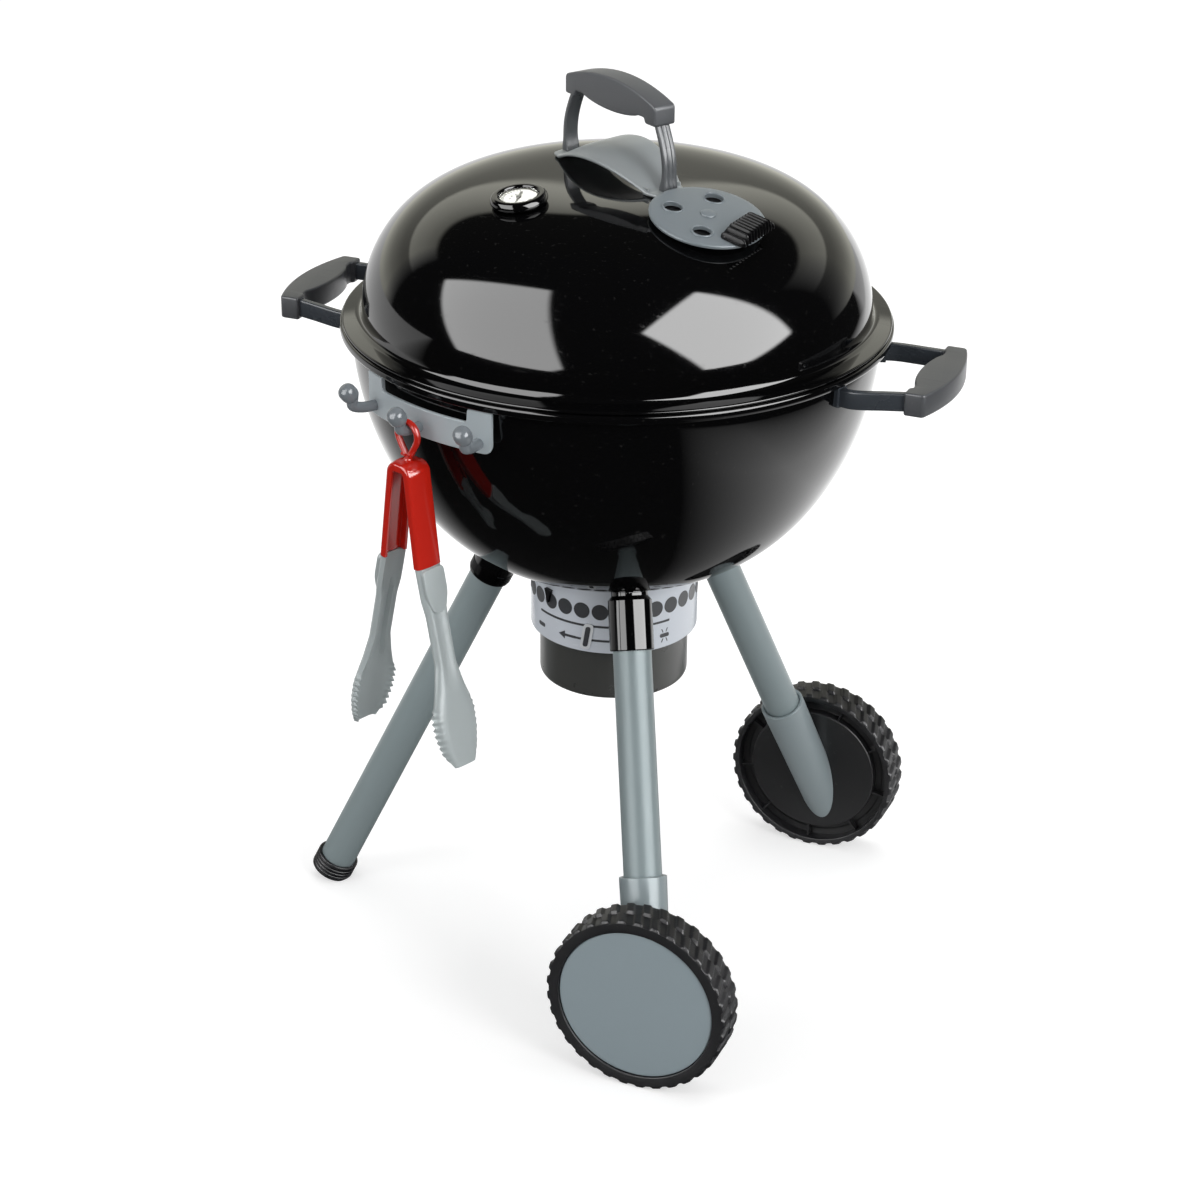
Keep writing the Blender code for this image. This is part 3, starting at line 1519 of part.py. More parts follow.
def build_grill():
    clear_scene()
    finishes = make_finishes()
    here = Matrix.Identity(4)
    root = new_pivot("grill", here)
    lid_pivot = new_pivot("lid_lift", shift(z=flange_bottom), root)
    vent_axis = on_lid(vent_azimuth, vent_distance)
    vent_pivot = new_pivot("vent_turn", vent_axis, lid_pivot)
    bowl = make_bowl(finishes["black"], root)
    lid = make_lid(finishes["black"], lid_pivot)
    make_lid_handle(lid, finishes, lid_pivot)
    make_vent(lid, finishes, lid_pivot, vent_pivot, vent_axis)
    make_gauge(finishes, lid_pivot)
    make_side_handle("right", 0.0, finishes, root)
    make_side_handle("left", 180.0, finishes, root)
    make_rack(finishes, root)
    make_ash_catcher(finishes, root)
    filler = bowl_filler("bowl_filler", root)
    for name in leg_azimuths:
        make_leg(name, bowl, filler, finishes, root)
    for name, side in (("front", -1), ("rear", 1)):
        pivot = new_pivot(f"wheel_{name}_spin", wheel_frame(side), root)
        make_wheel(name, finishes, root, pivot)
    tongs_pivot = new_pivot("tongs_swing", tongs_frame(), root)
    make_loop(finishes["red"], tongs_pivot)
    for name, side in (("right", 1), ("left", -1)):
        hinge = tongs_frame() @ shift(side * (crown_half_width + seat_gap), 0.0, hinge_height())
        pivot = new_pivot(f"tongs_{name}_squeeze", hinge, tongs_pivot)
        make_arm(name, side, finishes, pivot)
    cooking_pivot = new_pivot("cooking_grate_lift", shift(z=cooking_height), root)
    make_grate(
        "cooking_grate",
        cooking_radius(),
        cooking_height,
        cooking_ring_wire,
        cooking_rod_wire,
        cooking_rods,
        0.0,
        False,
        finishes["cooking"],
        cooking_pivot,
    )
    charcoal_pivot = new_pivot("charcoal_grate_lift", shift(z=charcoal_height), root)
    make_grate(
        "charcoal_grate",
        charcoal_radius(),
        charcoal_height,
        charcoal_ring_wire,
        charcoal_rod_wire,
        charcoal_rods,
        charcoal_overhang,
        True,
        finishes["charcoal"],
        charcoal_pivot,
    )
    coal_pivot = new_pivot("coal_lift", shift(z=charcoal_height), charcoal_pivot)
    make_coals(finishes, coal_pivot)
    stand_on_origin(root)


build_grill()
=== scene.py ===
# Looks of a toy kettle barbecue grill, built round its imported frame. Metres, +Z up.

import json
import math
import re
from functools import partial
from types import SimpleNamespace

import bpy
import numpy as np
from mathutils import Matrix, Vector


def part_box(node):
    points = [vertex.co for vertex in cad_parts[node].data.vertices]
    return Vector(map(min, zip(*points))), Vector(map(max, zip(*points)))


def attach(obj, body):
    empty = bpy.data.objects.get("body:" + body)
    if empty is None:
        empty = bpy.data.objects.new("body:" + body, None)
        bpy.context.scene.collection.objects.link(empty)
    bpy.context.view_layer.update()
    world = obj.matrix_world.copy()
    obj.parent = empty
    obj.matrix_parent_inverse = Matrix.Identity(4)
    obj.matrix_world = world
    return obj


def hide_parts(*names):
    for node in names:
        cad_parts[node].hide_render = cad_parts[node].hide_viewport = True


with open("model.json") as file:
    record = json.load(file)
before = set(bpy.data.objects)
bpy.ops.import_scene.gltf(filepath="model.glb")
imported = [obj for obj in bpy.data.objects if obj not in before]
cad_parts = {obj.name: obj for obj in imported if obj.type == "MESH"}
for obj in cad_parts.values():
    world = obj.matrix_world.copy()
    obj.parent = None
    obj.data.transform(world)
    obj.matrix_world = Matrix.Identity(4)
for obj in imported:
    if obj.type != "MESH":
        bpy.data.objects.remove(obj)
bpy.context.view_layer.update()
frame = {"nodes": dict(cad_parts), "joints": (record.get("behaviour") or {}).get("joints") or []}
nodes = frame["nodes"]
joints = {joint["name"]: joint for joint in frame["joints"]}
bowlLow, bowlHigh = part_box("bowl_shell")
centre = ((bowlLow.x + bowlHigh.x) / 2, (bowlLow.y + bowlHigh.y) / 2, 0.0)  # foot of the bowl's axis
play = 0.0003  # room between pieces that meet
print("frame loaded:", len(nodes), "nodes")


# Matrices and curves

def move(x=0.0, y=0.0, z=0.0):
    matrix = np.eye(4)
    matrix[:3, 3] = (x, y, z)
    return matrix


def spin(axis, degrees):
    turn = math.radians(degrees)
    first, second = {"x": (1, 2), "y": (2, 0), "z": (0, 1)}[axis]
    matrix = np.eye(4)
    matrix[first, first] = matrix[second, second] = math.cos(turn)
    matrix[first, second], matrix[second, first] = -math.sin(turn), math.sin(turn)
    return matrix


def carried(points, matrix):
    return points @ matrix[:3, :3].T + matrix[:3, 3]


def placed(surface, matrix):
    return carried(surface[0], matrix), surface[1]


def unit(vector):
    return vector / np.linalg.norm(vector, axis=-1, keepdims=True)


def frameOf(x, y, z, place):
    matrix = np.eye(4)
    matrix[:3, 0], matrix[:3, 1], matrix[:3, 2], matrix[:3, 3] = x, y, z, place
    return matrix


def onAxis(azimuth=0.0):
    return move(*centre) @ spin("z", azimuth)  # a frame on the bowl's axis, turned to an azimuth


def roundCorners(corners, radii, steps=6):
    # Each corner B becomes the parabola (1-t)^2 A + 2t(1-t) B + t^2 C, A and C a radius away on its sides
    corners = np.asarray(corners, float)
    reach = np.broadcast_to(np.asarray(radii, float), len(corners))[:, None]
    ends = []
    for neighbour in (np.roll(corners, 1, 0), np.roll(corners, -1, 0)):
        side = neighbour - corners
        length = np.linalg.norm(side, axis=1, keepdims=True)
        ends.append(corners + side / length * np.minimum(reach, length * 0.49))
    t = np.linspace(0, 1, steps + 1)[None, :, None]
    curve = (1 - t) ** 2 * ends[0][:, None] + 2 * t * (1 - t) * corners[:, None] + t**2 * ends[1][:, None]
    flat = curve.reshape(-1, 2)
    return flat[np.linalg.norm(flat - np.roll(flat, 1, 0), axis=1) > 1e-6]


def boxSection(thick, wide, radius, steps=4):
    # A rectangle with rounded corners, centred on zero
    x, y = thick / 2, wide / 2
    return roundCorners([(-x, -y), (x, -y), (x, y), (-x, y)], radius, steps)


def roundSection(radius, sides=24):
    # A circle: x = r cos a, y = r sin a
    angle = np.linspace(0, 2 * math.pi, sides, endpoint=False)
    return radius * np.stack([np.cos(angle), np.sin(angle)], 1)


def domeCurve(radius, depth, sidePower, endPower, sideCount, topCount):
    # Superellipse (r/R)^p + (z/D)^q = 1: even steps of z up its side, then even steps of r over its top
    turnShare = 0.8
    turnHeight = depth * (1 - turnShare**sidePower) ** (1 / endPower)
    z = np.linspace(0, turnHeight, sideCount, endpoint=False)
    side = np.stack([radius * (1 - (z / depth) ** endPower) ** (1 / sidePower), z], 1)
    r = np.linspace(turnShare * radius, 0, topCount)
    top = np.stack([r, depth * (1 - (r / radius) ** sidePower) ** (1 / endPower)], 1)
    return np.vstack([side, top])


def shellCurve(shell, inset, sideCount, topCount):
    # The superellipse of the bowl or the lid, with its radius and depth less by an inset
    radius, depth = shell["radius"] - inset, shell["depth"] - inset
    return domeCurve(radius, depth, shell["sidePower"], shell["endPower"], sideCount, topCount)


def shellRise(shell, distance):
    # The same superellipse, solved for z
    return shell["depth"] * (
        1 - (distance / shell["radius"]) ** shell["sidePower"]
    ) ** (1 / shell["endPower"])


def splinePath(controls, count):
    # Catmull-Rom spline through given points: each span is the usual cubic of its four nearest points
    controls = np.asarray(controls, float)
    padded = np.vstack([2 * controls[0] - controls[1], controls, 2 * controls[-1] - controls[-2]])
    place = np.linspace(0, len(controls) - 1, count)
    span = np.minimum(place.astype(int), len(controls) - 2)
    t = (place - span)[:, None]
    a, b, c, d = (padded[span + step] for step in range(4))
    return b + 0.5 * t * (c - a + t * (2 * a - 5 * b + 4 * c - d + t * (3 * (b - c) + d - a)))


def pathFrames(path, side, closed=False):
    # A frame at each point of a path: Z along it, Y near a fixed side vector, X square to both
    step = np.roll(path, -1, 0) - np.roll(path, 1, 0) if closed else np.gradient(path, axis=0)
    tangent = unit(step)
    across = unit(np.cross(side, tangent))
    frames = np.tile(np.eye(4), (len(path), 1, 1))
    frames[:, :3, 0], frames[:, :3, 1], frames[:, :3, 2] = across, np.cross(tangent, across), tangent
    frames[:, :3, 3] = path
    return frames


# Surfaces: each is (points, list of face arrays)

def ringSurface(rings, startCap=None, endCap=None, loop=False):
    # Joins closed rings of equal size into a skin. A cap is a pole point, or "flat" for one flat face
    rings = np.asarray(rings, float)
    count, size = rings.shape[:2]
    points = rings.reshape(-1, 3)
    low = (np.arange(count if loop else count - 1) * size)[:, None]
    high = (low + size) % (count * size)
    step = np.arange(size)[None, :]
    following = (step + 1) % size
    faces = [np.stack([low + step, low + following, high + following, high + step], -1).reshape(-1, 4)]
    for cap, first, reverse in ((startCap, 0, True), (endCap, (count - 1) * size, False)):
        if cap is None:
            continue
        edge = first + np.arange(size)
        if isinstance(cap, str):
            face = edge[None, :]
        else:
            face = np.stack([edge, np.roll(edge, -1), np.full(size, len(points))], -1)
            points = np.vstack([points, cap])
        faces.append(face[:, ::-1] if reverse else face)
    return points, faces


def circles(radius, angle, height):
    # Rings round Z: x = r cos a, y = r sin a, at their heights
    x, y = radius * np.cos(angle), radius * np.sin(angle)
    return np.stack([x, y, np.broadcast_to(height, x.shape)], -1)


def turned(profile, steps, matrix):
    # Carries a profile of (radius, height) round Z: x = r cos a, y = r sin a. Ends on the axis become poles
    profile = np.asarray(profile, float)
    angle = np.linspace(0, 2 * math.pi, steps, endpoint=False)
    poles = [np.array([[0, 0, end[1]]]) if end[0] < 1e-7 else None for end in (profile[0], profile[-1])]
    body = profile[1 if poles[0] is not None else 0 : len(profile) - (poles[1] is not None)]
    rings = circles(body[:, :1], angle, body[:, 1:])
    return placed(ringSurface(rings, poles[0], poles[1], loop=poles[0] is None), matrix)


def swept(sections, frames, closed=False):
    # Carries one section, or one for each frame, through frames: point = frame (x, y, 0)
    sections = np.asarray(sections, float)
    sections = np.broadcast_to(sections, (len(frames),) + sections.shape[-2:])
    flat = np.concatenate([sections, np.zeros(sections.shape[:2] + (1,))], -1)
    rings = np.einsum("nij,nmj->nmi", frames[:, :3, :3], flat) + frames[:, None, :3, 3]
    cap = None if closed else "flat"
    return ringSurface(rings, cap, cap, loop=closed)


def slab(section, matrix, low, high):
    # A section carried straight up, from one height of a frame to another
    return swept(section, np.stack([matrix @ move(z=low), matrix @ move(z=high)]))


def padded(outline, width, radius, matrix, steps=5):
    # Extrudes an outline along Z. Near both ends it draws in by r (1 - sin t) while it rises r (1 - cos t)
    outline = np.asarray(outline, float)
    x, y = outline.T
    if np.sum(x * np.roll(y, -1) - y * np.roll(x, -1)) < 0:
        outline = outline[::-1]
    tangent = np.roll(outline, -1, 0) - np.roll(outline, 1, 0)
    normal = np.stack([tangent[:, 1], -tangent[:, 0]], 1)
    normal /= np.linalg.norm(normal, axis=1, keepdims=True)
    turn = np.linspace(0, math.pi / 2, steps + 1)
    inset, rise = radius * (1 - np.sin(turn)), radius * (1 - np.cos(turn)) - width / 2
    inset, rise = np.append(inset, inset[::-1]), np.append(rise, -rise[::-1])
    rings = outline[None] - normal[None] * inset[:, None, None]
    rings = np.concatenate([rings, np.broadcast_to(rise[:, None, None], rings.shape[:2] + (1,))], -1)
    return placed(ringSurface(rings, "flat", "flat"), matrix)


def joined(surfaces):
    points, faces, count = [], [], 0
    for part, partFaces in surfaces:
        points.append(part)
        faces += [face + count for face in partFaces]
        count += len(part)
    return np.vstack(points), faces


def repeated(surface, matrices):
    return joined([placed(surface, matrix) for matrix in matrices])


def volumeOf(points, faces):
    # Sum of the tetrahedra that each face's fan makes with zero: negative if the faces point inwards
    total = 0.0
    for face in faces:
        for corner in range(1, face.shape[1] - 1):
            a, b, c = points[face[:, 0]], points[face[:, corner]], points[face[:, corner + 1]]
            total += np.einsum("ij,ij->", a, np.cross(b, c))
    return total


def linked(made):
    bpy.context.scene.collection.objects.link(made)
    return made


def newMesh(name, surface, sharp=38.0):
    points, faces = surface
    if volumeOf(points - points.mean(0), faces) < 0:
        faces = [face[:, ::-1] for face in faces]
    mesh = bpy.data.meshes.new(name)
    corners = np.concatenate([face.ravel() for face in faces]).astype(np.int32)
    sizes = np.concatenate([np.full(len(face), face.shape[1]) for face in faces])
    mesh.vertices.add(len(points))
    mesh.vertices.foreach_set("co", points.astype(np.float32).ravel())
    mesh.loops.add(len(corners))
    mesh.loops.foreach_set("vertex_index", corners)
    mesh.polygons.add(len(sizes))
    mesh.polygons.foreach_set("loop_start", (np.cumsum(sizes) - sizes).astype(np.int32))
    mesh.update(calc_edges=True)
    mesh.validate()
    mesh.shade_smooth()
    mesh.set_sharp_from_angle(angle=math.radians(sharp))
    return linked(bpy.data.objects.new(name, mesh))


def piece(name, surface, finish, body, *replaced, slot=None, sharp=38.0):
    return settle(newMesh(name, surface, sharp), finish, body, *replaced, slot=slot)


def settle(made, finish, body, *replaced, slot=None):
    made.data.materials.append(paint[finish])
    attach(made, body)
    slot or slots.get(finish) or re.sub("([A-Z])", r"_\1", finish).lower()
    if replaced:
        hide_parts(*replaced)
    return made


def bakeModifiers(made):
    bpy.context.view_layer.update()
    baked = bpy.data.meshes.new_from_object(made.evaluated_get(bpy.context.evaluated_depsgraph_get()))
    made.modifiers.clear()
    made.data = baked
    return baked


def carve(made, cutters):
    # Cuts the cutters out of a mesh, then removes them
    for cutter in cutters:
        modifier = made.modifiers.new(cutter.name, "BOOLEAN")
        modifier.object = cutter
        modifier.operation = "DIFFERENCE"
    carved = bakeModifiers(made)
    for cutter in cutters:
        bpy.data.objects.remove(cutter)
    carved.shade_smooth()
    carved.set_sharp_from_angle(angle=math.radians(38.0))
    return made


def useMaterial(material, *names):
    for name in names:
        nodes[name].data.materials.clear()
        nodes[name].data.materials.append(material)


# Nodes: an output is linked to a socket, a number or colour is set on it

def feed(node, values):
    for entry, value in values.items():
        if isinstance(value, bpy.types.NodeSocket):
            node.id_data.links.new(value, node.inputs[entry])
        elif value is not None:
            node.inputs[entry].default_value = value


def addNode(tree, kind, values=None, group=None):
    node = tree.nodes.new("ShaderNode" + kind)
    if group:
        node.node_tree = group
    feed(node, values or {})
    return node


def mathNode(operation, first, second=None):
    tree = (first if isinstance(first, bpy.types.NodeSocket) else second).id_data
    node = addNode(tree, "Math", {0: first, 1: second})
    node.operation = operation
    return node.outputs[0]


plus, minus, times, ratio, largest, above = (
    partial(mathNode, name) for name in ("ADD", "SUBTRACT", "MULTIPLY", "DIVIDE", "MAXIMUM", "GREATER_THAN")
)


def clamped(value):
    return addNode(value.id_data, "Clamp", {"Value": value}).outputs["Result"]


def noise(place, scale, detail=2.0):
    values = {"Vector": place, "Scale": scale, "Detail": detail}
    return addNode(place.id_data, "TexNoise", values).outputs["Fac"]


def mixedColour(share, first, second):
    node = share.id_data.nodes.new("ShaderNodeMix")
    node.data_type = "RGBA"
    feed(node, {0: share, 6: first, 7: second})
    return node.outputs[2]


def colourRamp(value, stops):
    ramp = addNode(value.id_data, "ValToRGB", {"Fac": value})
    while len(ramp.color_ramp.elements) < len(stops):
        ramp.color_ramp.elements.new(0.5)
    for element, (place, colour) in zip(ramp.color_ramp.elements, stops):
        element.position, element.color = place, (*colour, 1.0)
    return ramp.outputs["Color"]


# Materials: two shared groups, then one short recipe for each finish

def newGroup(name, entries, leaves):
    group = bpy.data.node_groups.new(name, "ShaderNodeTree")
    for direction, sockets in (("INPUT", entries), ("OUTPUT", leaves)):
        for label, value in sockets.items():
            kind = "NodeSocketColor" if isinstance(value, tuple) else "NodeSocketFloat"
            group.interface.new_socket(name=label, in_out=direction, socket_type=kind).default_value = value
    given = group.nodes.new("NodeGroupInput").outputs
    return group, given, group.nodes.new("NodeGroupOutput"), addNode(group, "TexCoord").outputs["Object"]


def makeMouldGroup():
    # Moulded plastic: broad tone drift, a fine grain for bump, and rubbed patches that change roughness
    grey = (0.5, 0.5, 0.5, 1.0)
    entries = {
        "Colour": grey, "Drift": 0.05, "Roughness": 0.3, "Rub": 0.06, "Grain Scale": 900.0, "Grain Depth": 0.2
    }
    leaves = {"Colour": grey, "Roughness": 0.3, "Height": 0.0}
    group, given, leave, place = newGroup("mouldedPlastic", entries, leaves)
    drift = times(minus(noise(place, 14.0, 3.0), 0.5), given["Drift"])
    tone = addNode(group, "HueSaturation", {"Color": given["Colour"], "Value": plus(drift, 1.0)})
    rough = times(minus(noise(place, 55.0, 6.0), 0.45), given["Rub"])
    grain = times(noise(place, given["Grain Scale"]), given["Grain Depth"])
    rough = plus(rough, given["Roughness"])
    feed(leave, {"Colour": tone.outputs["Color"], "Roughness": rough, "Height": grain})
    return group


def makeDustGroup():
    # Dust and fine scratches: bright specks, thicker in drifts, and long thin marks
    entries, leaves = {"Dust": 0.02, "Scratch": 0.05}, {"Dust": 0.0, "Scratch": 0.0}
    group, given, leave, place = newGroup("dustAndScratches", entries, leaves)
    settled = times(above(noise(place, 420.0, 4.0), 0.69), noise(place, 9.0))
    stretch = {"Vector": place, "Scale": (35.0, 700.0, 500.0), "Rotation": (0.3, 0.5, 0.7)}
    marks = noise(addNode(group, "Mapping", stretch).outputs["Vector"], 1.0)
    settled, marks = times(settled, given["Dust"]), times(above(marks, 0.68), given["Scratch"])
    feed(leave, {"Dust": settled, "Scratch": marks})
    return group


mouldGroup = makeMouldGroup()
dustGroup = makeDustGroup()

finishes = {
    # name: colour, roughness, drift, rub, grain scale, grain depth, bump strength, coat, dust, scratch,
    # metallic
    "glossBlack": ((0.0016, 0.0016, 0.0018), 0.055, 0.1, 0.03, 260.0, 0.5, 0.01, 0.0, 0.01, 0.06),
    "satinBlack": ((0.014, 0.014, 0.015), 0.34, 0.2, 0.12, 1500.0, 0.5, 0.06, 0.0, 0.012, 0.05),
    "tabBlack": ((0.003, 0.003, 0.0034), 0.34, 0.1, 0.05, 900.0, 0.3, 0.02, 0.0, 0.004, 0.03),
    "cupBlack": ((0.058, 0.059, 0.056), 0.28, 0.12, 0.08, 1200.0, 0.4, 0.03, 0.0, 0.003, 0.02),
    "gripGrey": ((0.078, 0.082, 0.088), 0.42, 0.12, 0.12, 1700.0, 0.7, 0.14, 0.0, 0.015, 0.06),
    # a darker copy of gripGrey for the side grips: the difference is painted shade
    "sideGripGrey": ((0.058, 0.061, 0.066), 0.38, 0.12, 0.12, 1700.0, 0.7, 0.14, 0.0, 0.015, 0.06),
    "strapGrey": ((0.036, 0.042, 0.05), 0.27, 0.12, 0.1, 1400.0, 0.5, 0.05, 0.0, 0.01, 0.06),
    "postGrey": ((0.092, 0.098, 0.104), 0.28, 0.1, 0.1, 1400.0, 0.5, 0.05, 0.0, 0.01, 0.06),
    "shieldGrey": ((0.285, 0.308, 0.315), 0.33, 0.06, 0.1, 1600.0, 0.5, 0.05, 0.0, 0.01, 0.05),
    "ventGrey": ((0.165, 0.19, 0.206), 0.36, 0.06, 0.1, 1600.0, 0.5, 0.06, 0.0, 0.01, 0.05),
    "dialWhite": ((0.56, 0.55, 0.52), 0.42, 0.03, 0.05, 1500.0, 0.3, 0.03, 0.0, 0.0, 0.0),
    "rackGrey": ((0.395, 0.445, 0.47), 0.3, 0.05, 0.1, 1600.0, 0.5, 0.05, 0.0, 0.01, 0.05),
    # a darker copy of rackGrey for the pegs: the darkness is a painted reflection of a dark room
    "pegGrey": ((0.165, 0.184, 0.2), 0.2, 0.06, 0.08, 1500.0, 0.4, 0.04, 0.0, 0.008, 0.05),
    "bandSilver": ((0.64, 0.68, 0.74), 0.22, 0.06, 0.08, 1300.0, 0.4, 0.03, 0.0, 0.008, 0.05),
    "printDark": ((0.048, 0.05, 0.055), 0.35, 0.08, 0.08, 1300.0, 0.3, 0.02, 0.0, 0.005, 0.03),
    "printPale": ((0.7, 0.72, 0.74), 0.3, 0.05, 0.08, 1300.0, 0.3, 0.02, 0.0, 0.005, 0.03),
    "legGrey": ((0.24, 0.29, 0.3), 0.34, 0.05, 0.1, 1500.0, 0.5, 0.05, 0.0, 0.01, 0.06),
    "sleeveGrey": ((0.262, 0.31, 0.325), 0.3, 0.05, 0.1, 1500.0, 0.5, 0.05, 0.0, 0.01, 0.06),
    "tyreBlack": ((0.006, 0.006, 0.007), 0.46, 0.25, 0.16, 1100.0, 0.8, 0.12, 0.0, 0.02, 0.05),
    "hubcapGrey": ((0.262, 0.318, 0.345), 0.4, 0.05, 0.1, 1700.0, 0.6, 0.08, 0.0, 0.008, 0.05),
    "tongsRed": ((0.52, 0.016, 0.008), 0.15, 0.1, 0.06, 500.0, 0.5, 0.02, 0.3, 0.006, 0.05),
    "jawGrey": ((0.37, 0.41, 0.415), 0.32, 0.06, 0.1, 1500.0, 0.5, 0.06, 0.0, 0.01, 0.06),
    "cookingGrey": ((0.4, 0.445, 0.465), 0.32, 0.06, 0.1, 1500.0, 0.5, 0.06, 0.0, 0.01, 0.05),
    "charcoalGrey": ((0.06, 0.064, 0.07), 0.36, 0.08, 0.1, 1500.0, 0.5, 0.06, 0.0, 0.01, 0.05),
    "plainSteel": ((0.55, 0.55, 0.56), 0.28, 0.05, 0.1, 1200.0, 0.4, 0.05, 0.0, 0.0, 0.08, 1.0),
    "coalBlack": ((0.01, 0.009, 0.009), 0.16, 0.3, 0.12, 300.0, 0.7, 0.05, 0.4, 0.0, 0.05),
    "glowRed": ((0.75, 0.05, 0.01), 0.25, 0.1, 0.05, 600.0, 0.4, 0.03, 0.0, 0.0, 0.02),
}
slots = {  # finishes that share another one's slot; the rest have a slot of their own name
    "tabBlack": "satin_black", "cupBlack": "satin_black", "printDark": "satin_black",
    "sideGripGrey": "grip_grey", "pegGrey": "rack_grey", "printPale": "band_silver",
}
extras = {
    # settings that only these finishes have
    "tabBlack": {"Specular IOR Level": 0.2},
    "legGrey": {"Specular IOR Level": 0.35},
    "coalBlack": {"Emission Strength": 0.8},
    "glowRed": {"Emission Color": (0.9, 0.08, 0.01, 1.0), "Emission Strength": 0.6},
}
dustColour = (0.5, 0.49, 0.47, 1.0)
reliefHeight = 0.0004


def newMaterial(name):
    material = bpy.data.materials.new(name)
    material.use_nodes = True
    return material, material.node_tree, material.node_tree.nodes["Principled BSDF"]


def makeFinish(
    name, colour, roughness, drift, rub, grainScale, grainDepth, bump, coat, dust, scratch, metallic=0.0
):
    material, tree, shader = newMaterial(name)
    plastic = {"Colour": (*colour, 1.0), "Drift": drift, "Roughness": roughness, "Rub": rub}
    plastic |= {"Grain Scale": grainScale, "Grain Depth": grainDepth}
    mould = addNode(tree, "Group", plastic, mouldGroup).outputs
    marks = addNode(tree, "Group", {"Dust": dust, "Scratch": scratch}, dustGroup).outputs
    relief = addNode(tree, "Bump", {"Strength": bump, "Distance": reliefHeight, "Height": mould["Height"]})
    feed(shader, {
        "Base Color": mixedColour(times(marks["Dust"], 4.0), mould["Colour"], dustColour),
        "Roughness": plus(mould["Roughness"], marks["Scratch"]),
        "Normal": relief.outputs["Normal"], "Coat Weight": coat, "Metallic": metallic,
    })
    feed(shader, extras.get(name, {}))
    return material


def makeLensFinish():
    material, tree, shader = newMaterial("lensClear")
    marks = addNode(tree, "Group", {"Dust": 0.0, "Scratch": 0.06}, dustGroup).outputs
    clear = {"Base Color": (0.96, 0.97, 0.97, 1.0), "Transmission Weight": 1.0, "IOR": 1.15}
    feed(shader, {**clear, "Roughness": plus(marks["Scratch"], 0.02)})
    return material


def addHeat(material):
    # The heat attribute turns the creases between coals red, then orange
    heat = addNode(material.node_tree, "Attribute")
    heat.attribute_name = "heat"
    stops = ((0.25, (0.0, 0.0, 0.0)), (0.62, (0.45, 0.02, 0.004)), (1.0, (0.95, 0.22, 0.03)))
    glow = colourRamp(heat.outputs["Fac"], stops)
    feed(material.node_tree.nodes["Principled BSDF"], {"Emission Color": glow})


paint = {name: makeFinish(name, *values) for name, values in finishes.items()}
paint["lensClear"] = makeLensFinish()
addHeat(paint["coalBlack"])
print("materials made:", len(paint))

# Bowl: superellipse shell with a rolled rim and two ledges
bowl = {
    "radius": 0.1593, "depth": 0.1558, "wall": 0.0025, "sidePower": 2.76, "endPower": 1.75,
    "rimHeight": 0.4246, "rimRadius": 0.1663, "rimThickness": 0.0053, "rimEdge": 0.0019,
    "ledgeWidth": 0.004, "ledgeThickness": 0.003, "ledgeEdge": 0.0008, "ledgeMerge": 0.001,
    "rings": (26, 40), "steps": 192,
}
bowlTop = bowl["rimHeight"] - bowl["rimThickness"]
grates = {
    "cooking": {"radius": 0.14, "height": 0.399, "ring": 0.0024, "rod": 0.0017, "rods": 14, "overhang": 0.0},
    "charcoal": {
        "radius": 0.106, "height": 0.312, "ring": 0.0022, "rod": 0.0019, "rods": 12, "overhang": 0.0035
    },
}


def bowlOutside(distance):
    return bowlTop - shellRise(bowl, distance)


def buildBowl():
    b = SimpleNamespace(**bowl)
    outside = shellCurve(bowl, 0, *b.rings)[::-1]
    inside = shellCurve(bowl, b.wall, *b.rings)
    outside[:, 1], inside[:, 1] = bowlTop - outside[:, 1], bowlTop - inside[:, 1]
    insideRadius = b.radius - b.wall
    edge = b.rimEdge
    rim = roundCorners(
        [
            (b.radius - edge, bowlTop - edge), (b.radius, bowlTop), (b.rimRadius, bowlTop),
            (b.rimRadius, b.rimHeight), (insideRadius, b.rimHeight), (insideRadius, b.rimHeight - edge),
        ],
        [0, edge / 2, edge, edge, edge / 2, 0],
    )[1:-1]
    parts, upper = [outside[:-1], rim], np.inf
    for grate in grates.values():
        top = grate["height"] - grate["ring"] - play
        low = top - b.ledgeThickness
        reach = grate["radius"] - b.ledgeWidth
        band = inside[(inside[:, 1] < upper) & (inside[:, 1] > top + b.ledgeMerge)]
        wallTop, wallLow = np.interp([-top, -low], -inside[:, 1], inside[:, 0])
        ledge = [(wallTop, top), (reach, top), (reach, low), (wallLow, low)]
        parts += [band, roundCorners(ledge, [0, b.ledgeEdge, b.ledgeEdge, 0])]
        upper = low - b.ledgeMerge
    parts.append(inside[inside[:, 1] < upper])
    piece("bowl", turned(np.vstack(parts), b.steps, onAxis()), "glossBlack", "stand", "bowl_shell")


buildBowl()

# Lid: flat-crowned dome, a rounded flange and a lip that finds the bowl
lid = {
    "radius": 0.153, "depth": 0.08, "wall": 0.0025, "sidePower": 3.83, "endPower": 1.89,
    "footRise": 0.0045, "footStep": 0.001, "flangeRadius": 0.165, "flangeThickness": 0.003,
    "flangeEdge": 0.0013, "flangeFall": 0.0011, "footFillet": 0.0034, "footLap": 0.001,
    "lipDepth": 0.004, "lipWall": 0.002, "lipPlay": 0.0015, "rings": (34, 44), "innerRings": (30, 40),
    "steps": 192,
}
flangeLow = bowl["rimHeight"] + play
flangeTop = flangeLow + lid["flangeThickness"]
lidBase = flangeTop + lid["footRise"]


def lidHeight(distance):
    return lidBase + shellRise(lid, distance)


